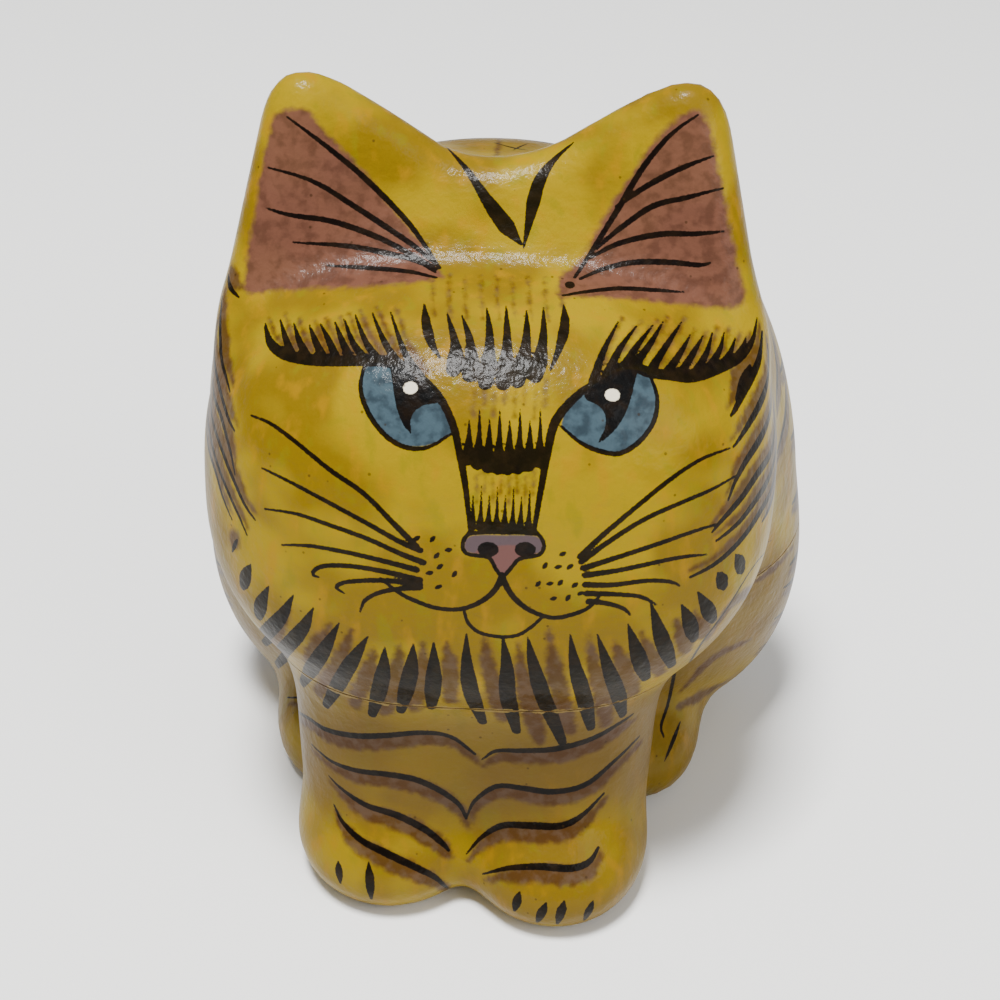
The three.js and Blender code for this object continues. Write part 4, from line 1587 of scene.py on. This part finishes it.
        swell = nodes.sum(nodes.noise(place, self.swell_grain, 1.0), self.swell, "MULTIPLY")
        height = nodes.sum(nodes.noise(place, self.craze, 4.0), swell)
        strength, depth = self.bump_strength, self.bump_depth * MM
        bump = nodes.add("Bump", Strength=strength, Distance=depth, Height=height).outputs[0]
        nodes.tree.links.new(bump, shader.inputs["Normal"])
        nodes.tree.links.new(bump, shader.inputs["Coat Normal"])
        return material

    def age(self, nodes: Nodes, place: Any, colour: Any) -> Any:
        """Returns the colour with small specks of dirt, and a lighter band along the seam: worn lips with a
        painted highlight on them.
        """
        cells = nodes.add("TexVoronoi", Vector=place, Scale=1.0 / (self.speck_spacing * MM))
        dots = nodes.ramp(cells.outputs["Distance"], self.speck, self.speck / 2, 0.0, self.speck_hides)
        colour = nodes.blend(dots, colour, linear(self.dirt))
        # A lighter band along the seam: worn lips, and a painted highlight standing in for the light on them
        rise = nodes.add("SeparateXYZ", Vector=place).outputs["Z"]
        gap = nodes.sum(nodes.sum(rise, -SEAM_HEIGHT * MM), 0.0, "ABSOLUTE")
        wear_and_sheen_noise = nodes.noise(place, self.rub_and_sheen_grain, 3.0)
        uneven = nodes.ramp(wear_and_sheen_noise, 0.35, 0.70, self.rub_and_sheen_least * MM, self.rub_and_sheen_most * MM)
        past = nodes.sum(uneven, gap, "SUBTRACT")
        share = nodes.ramp(past, 0.0, self.rub_and_sheen_least * MM, 0.0, self.rub_and_sheen_hides)
        return nodes.blend(share, colour, linear(self.rub_and_sheen))


@dataclass(frozen=True)
class PlainCoat:
    """A plain matt coat, such as the dark lining paint or the bare paper of the rims."""

    name: str
    light: str
    dark: str
    roughness: float
    grain: float

    def build(self) -> bpy.types.Material:
        """Returns the material: two close tones in blots, with a little tooth."""
        material = bpy.data.materials.new(self.name)
        material.use_nodes = True
        nodes = Nodes(material.node_tree)
        shader = material.node_tree.nodes["Principled BSDF"]
        place = nodes.add("TexCoord").outputs["Object"]
        blots = nodes.noise(place, self.grain, 4.0)
        colour = nodes.blend(nodes.ramp(blots, 0.35, 0.65), linear(self.dark), linear(self.light))
        nodes.tree.links.new(colour, shader.inputs["Base Color"])
        shader.inputs["Roughness"].default_value = self.roughness
        bump = nodes.add("Bump", Strength=0.4, Distance=0.1 * MM, Height=blots).outputs[0]
        nodes.tree.links.new(bump, shader.inputs["Normal"])
        return material


LINING_PAINT = PlainCoat("dark_lining_paint", "#2B1D15", "#1B120D", 0.55, 3.0)
PAPER_EDGE = PlainCoat("bare_paper_edge", "#A58A5E", "#7D6541", 0.85, 1.2)


@dataclass(frozen=True)
class Camera:
    """The camera, level angles in degrees and lengths in mm, in the form's own place."""

    fall: float = 34.99
    swing: float = 2.33
    roll: float = 0.74
    distance: float = 322.18
    target: tuple[float, float, float] = (1.47, 0.0, 51.93)
    focal_pixels: float = 1900.0
    image_pixels: float = 1000.0
    sensor: float = 36.0

    def build(self) -> bpy.types.Object:
        """Places the camera as the photograph's stood."""
        fall, swing, roll = (math.radians(angle) for angle in (self.fall, self.swing, self.roll))
        ahead = Vector((-math.sin(swing) * math.cos(fall), math.cos(swing) * math.cos(fall), -math.sin(fall)))
        level = Vector((math.cos(swing), math.sin(swing), 0.0))
        above = level.cross(ahead)
        right = math.cos(roll) * level + math.sin(roll) * above
        up = math.cos(roll) * above - math.sin(roll) * level
        data = bpy.data.cameras.new("camera")
        data.sensor_width = self.sensor
        data.lens = self.focal_pixels / self.image_pixels * self.sensor
        data.clip_start = 0.01
        data.clip_end = 20.0
        camera = bpy.data.objects.new("camera", data)
        bpy.context.scene.collection.objects.link(camera)
        place = (Vector(self.target) + Vector(FORM_IN_FRAME)) * MM - ahead * self.distance * MM
        camera.matrix_world = Matrix.Translation(place) @ Matrix((right, up, -ahead)).transposed().to_4x4()
        bpy.context.scene.camera = camera
        return camera


@dataclass(frozen=True)
class Lamp:
    """A square soft light: its place, the side of its face and its power."""

    name: str
    place: tuple[float, float, float]
    side: float
    power: float

    def build(self) -> None:
        """Hangs the light so that it faces the cat."""
        data = bpy.data.lights.new(self.name, "AREA")
        data.shape = "SQUARE"
        data.size = self.side
        data.energy = self.power
        lamp = bpy.data.objects.new(self.name, data)
        bpy.context.scene.collection.objects.link(lamp)
        place = Vector(self.place)
        aim = (Vector((0.0, 0.0, 0.06)) - place).to_track_quat("-Z", "Y")
        lamp.matrix_world = Matrix.Translation(place) @ aim.to_matrix().to_4x4()


@dataclass(frozen=True)
class Studio:
    """A pale floor, a pale sky and soft lights."""

    floor_side: float = 12.0
    floor_tone: str = "#FAFAF8"
    sky_strength: float = 0.4
    lamps: tuple[Lamp, ...] = (
        Lamp("key", (-0.12, -0.24, 1.20), 0.28, 30.0),
        Lamp("fill", (0.85, -0.65, 0.75), 0.7, 6.0),
    )

    def build(self) -> None:
        """Builds the floor, the sky and the lights."""
        bm = bmesh.new()
        bmesh.ops.create_grid(bm, x_segments=1, y_segments=1, size=self.floor_side / 2)
        mesh = bpy.data.meshes.new("floor")
        bm.to_mesh(mesh)
        bm.free()
        floor = bpy.data.objects.new("floor", mesh)
        bpy.context.scene.collection.objects.link(floor)
        mesh.materials.append(self.paper())
        world = bpy.data.worlds.new("sky")
        world.use_nodes = True
        sky = world.node_tree.nodes["Background"]
        sky.inputs["Color"].default_value = linear("#FFFFFF")
        sky.inputs["Strength"].default_value = self.sky_strength
        bpy.context.scene.world = world
        for lamp in self.lamps:
            lamp.build()

    def paper(self) -> bpy.types.Material:
        """Returns the matt white paper of the floor."""
        material = bpy.data.materials.new("studio_paper")
        material.use_nodes = True
        shader = material.node_tree.nodes["Principled BSDF"]
        shader.inputs["Base Color"].default_value = linear(self.floor_tone)
        shader.inputs["Roughness"].default_value = 0.9
        return material


def painted(form: CatForm) -> Painting:
    """Returns the whole painting, carried on to the form."""
    painting = Painting(form)
    face = FacePaint()
    body = BodyPaint()
    for marks in (face.ears(), face.forehead(), face.bridge(), face.brows(), face.muzzle(), face.cheeks()):
        painting.draw(marks)
    for marks, patches in (face.eyes(), face.nose()):
        painting.draw(marks)
        painting.fill(patches)
    painting.fill([Patch(outline, Coat.EAR) for outline in EAR_PINK])
    for marks in (body.chest(), body.back(), body.flanks()):
        painting.draw(marks)
    painting.carry()
    log.info("painting: %d strokes, %d patches", len(painting.strokes), len(painting.patches))
    return painting


def main() -> None:
    """Builds the cat box, its paint and the studio around it."""
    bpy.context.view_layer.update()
    form = CatForm()
    painting = painted(form)
    skin = Wrapping(form, 0.0, True, 6, (3.4, 2.9)).build()
    lining = Wrapping(form, WALL, False, 5, (6.0,)).build()
    log.info("wrapped: %d and %d faces", len(skin.faces), len(lining.faces))
    finishes = [Lacquer().build(), LINING_PAINT.build(), PAPER_EDGE.build()]
    levels = (SEAM_HEIGHT + SEAM_GAP / 2, SEAM_HEIGHT - SEAM_GAP / 2)
    for half in (Lid(form), Base(form)):
        half.build(skin, lining)
        half.refine(painting, levels, 7)
        half.dress(painting, finishes)
    Camera().build()
    Studio().build()


if __name__ == "__main__":
    main()
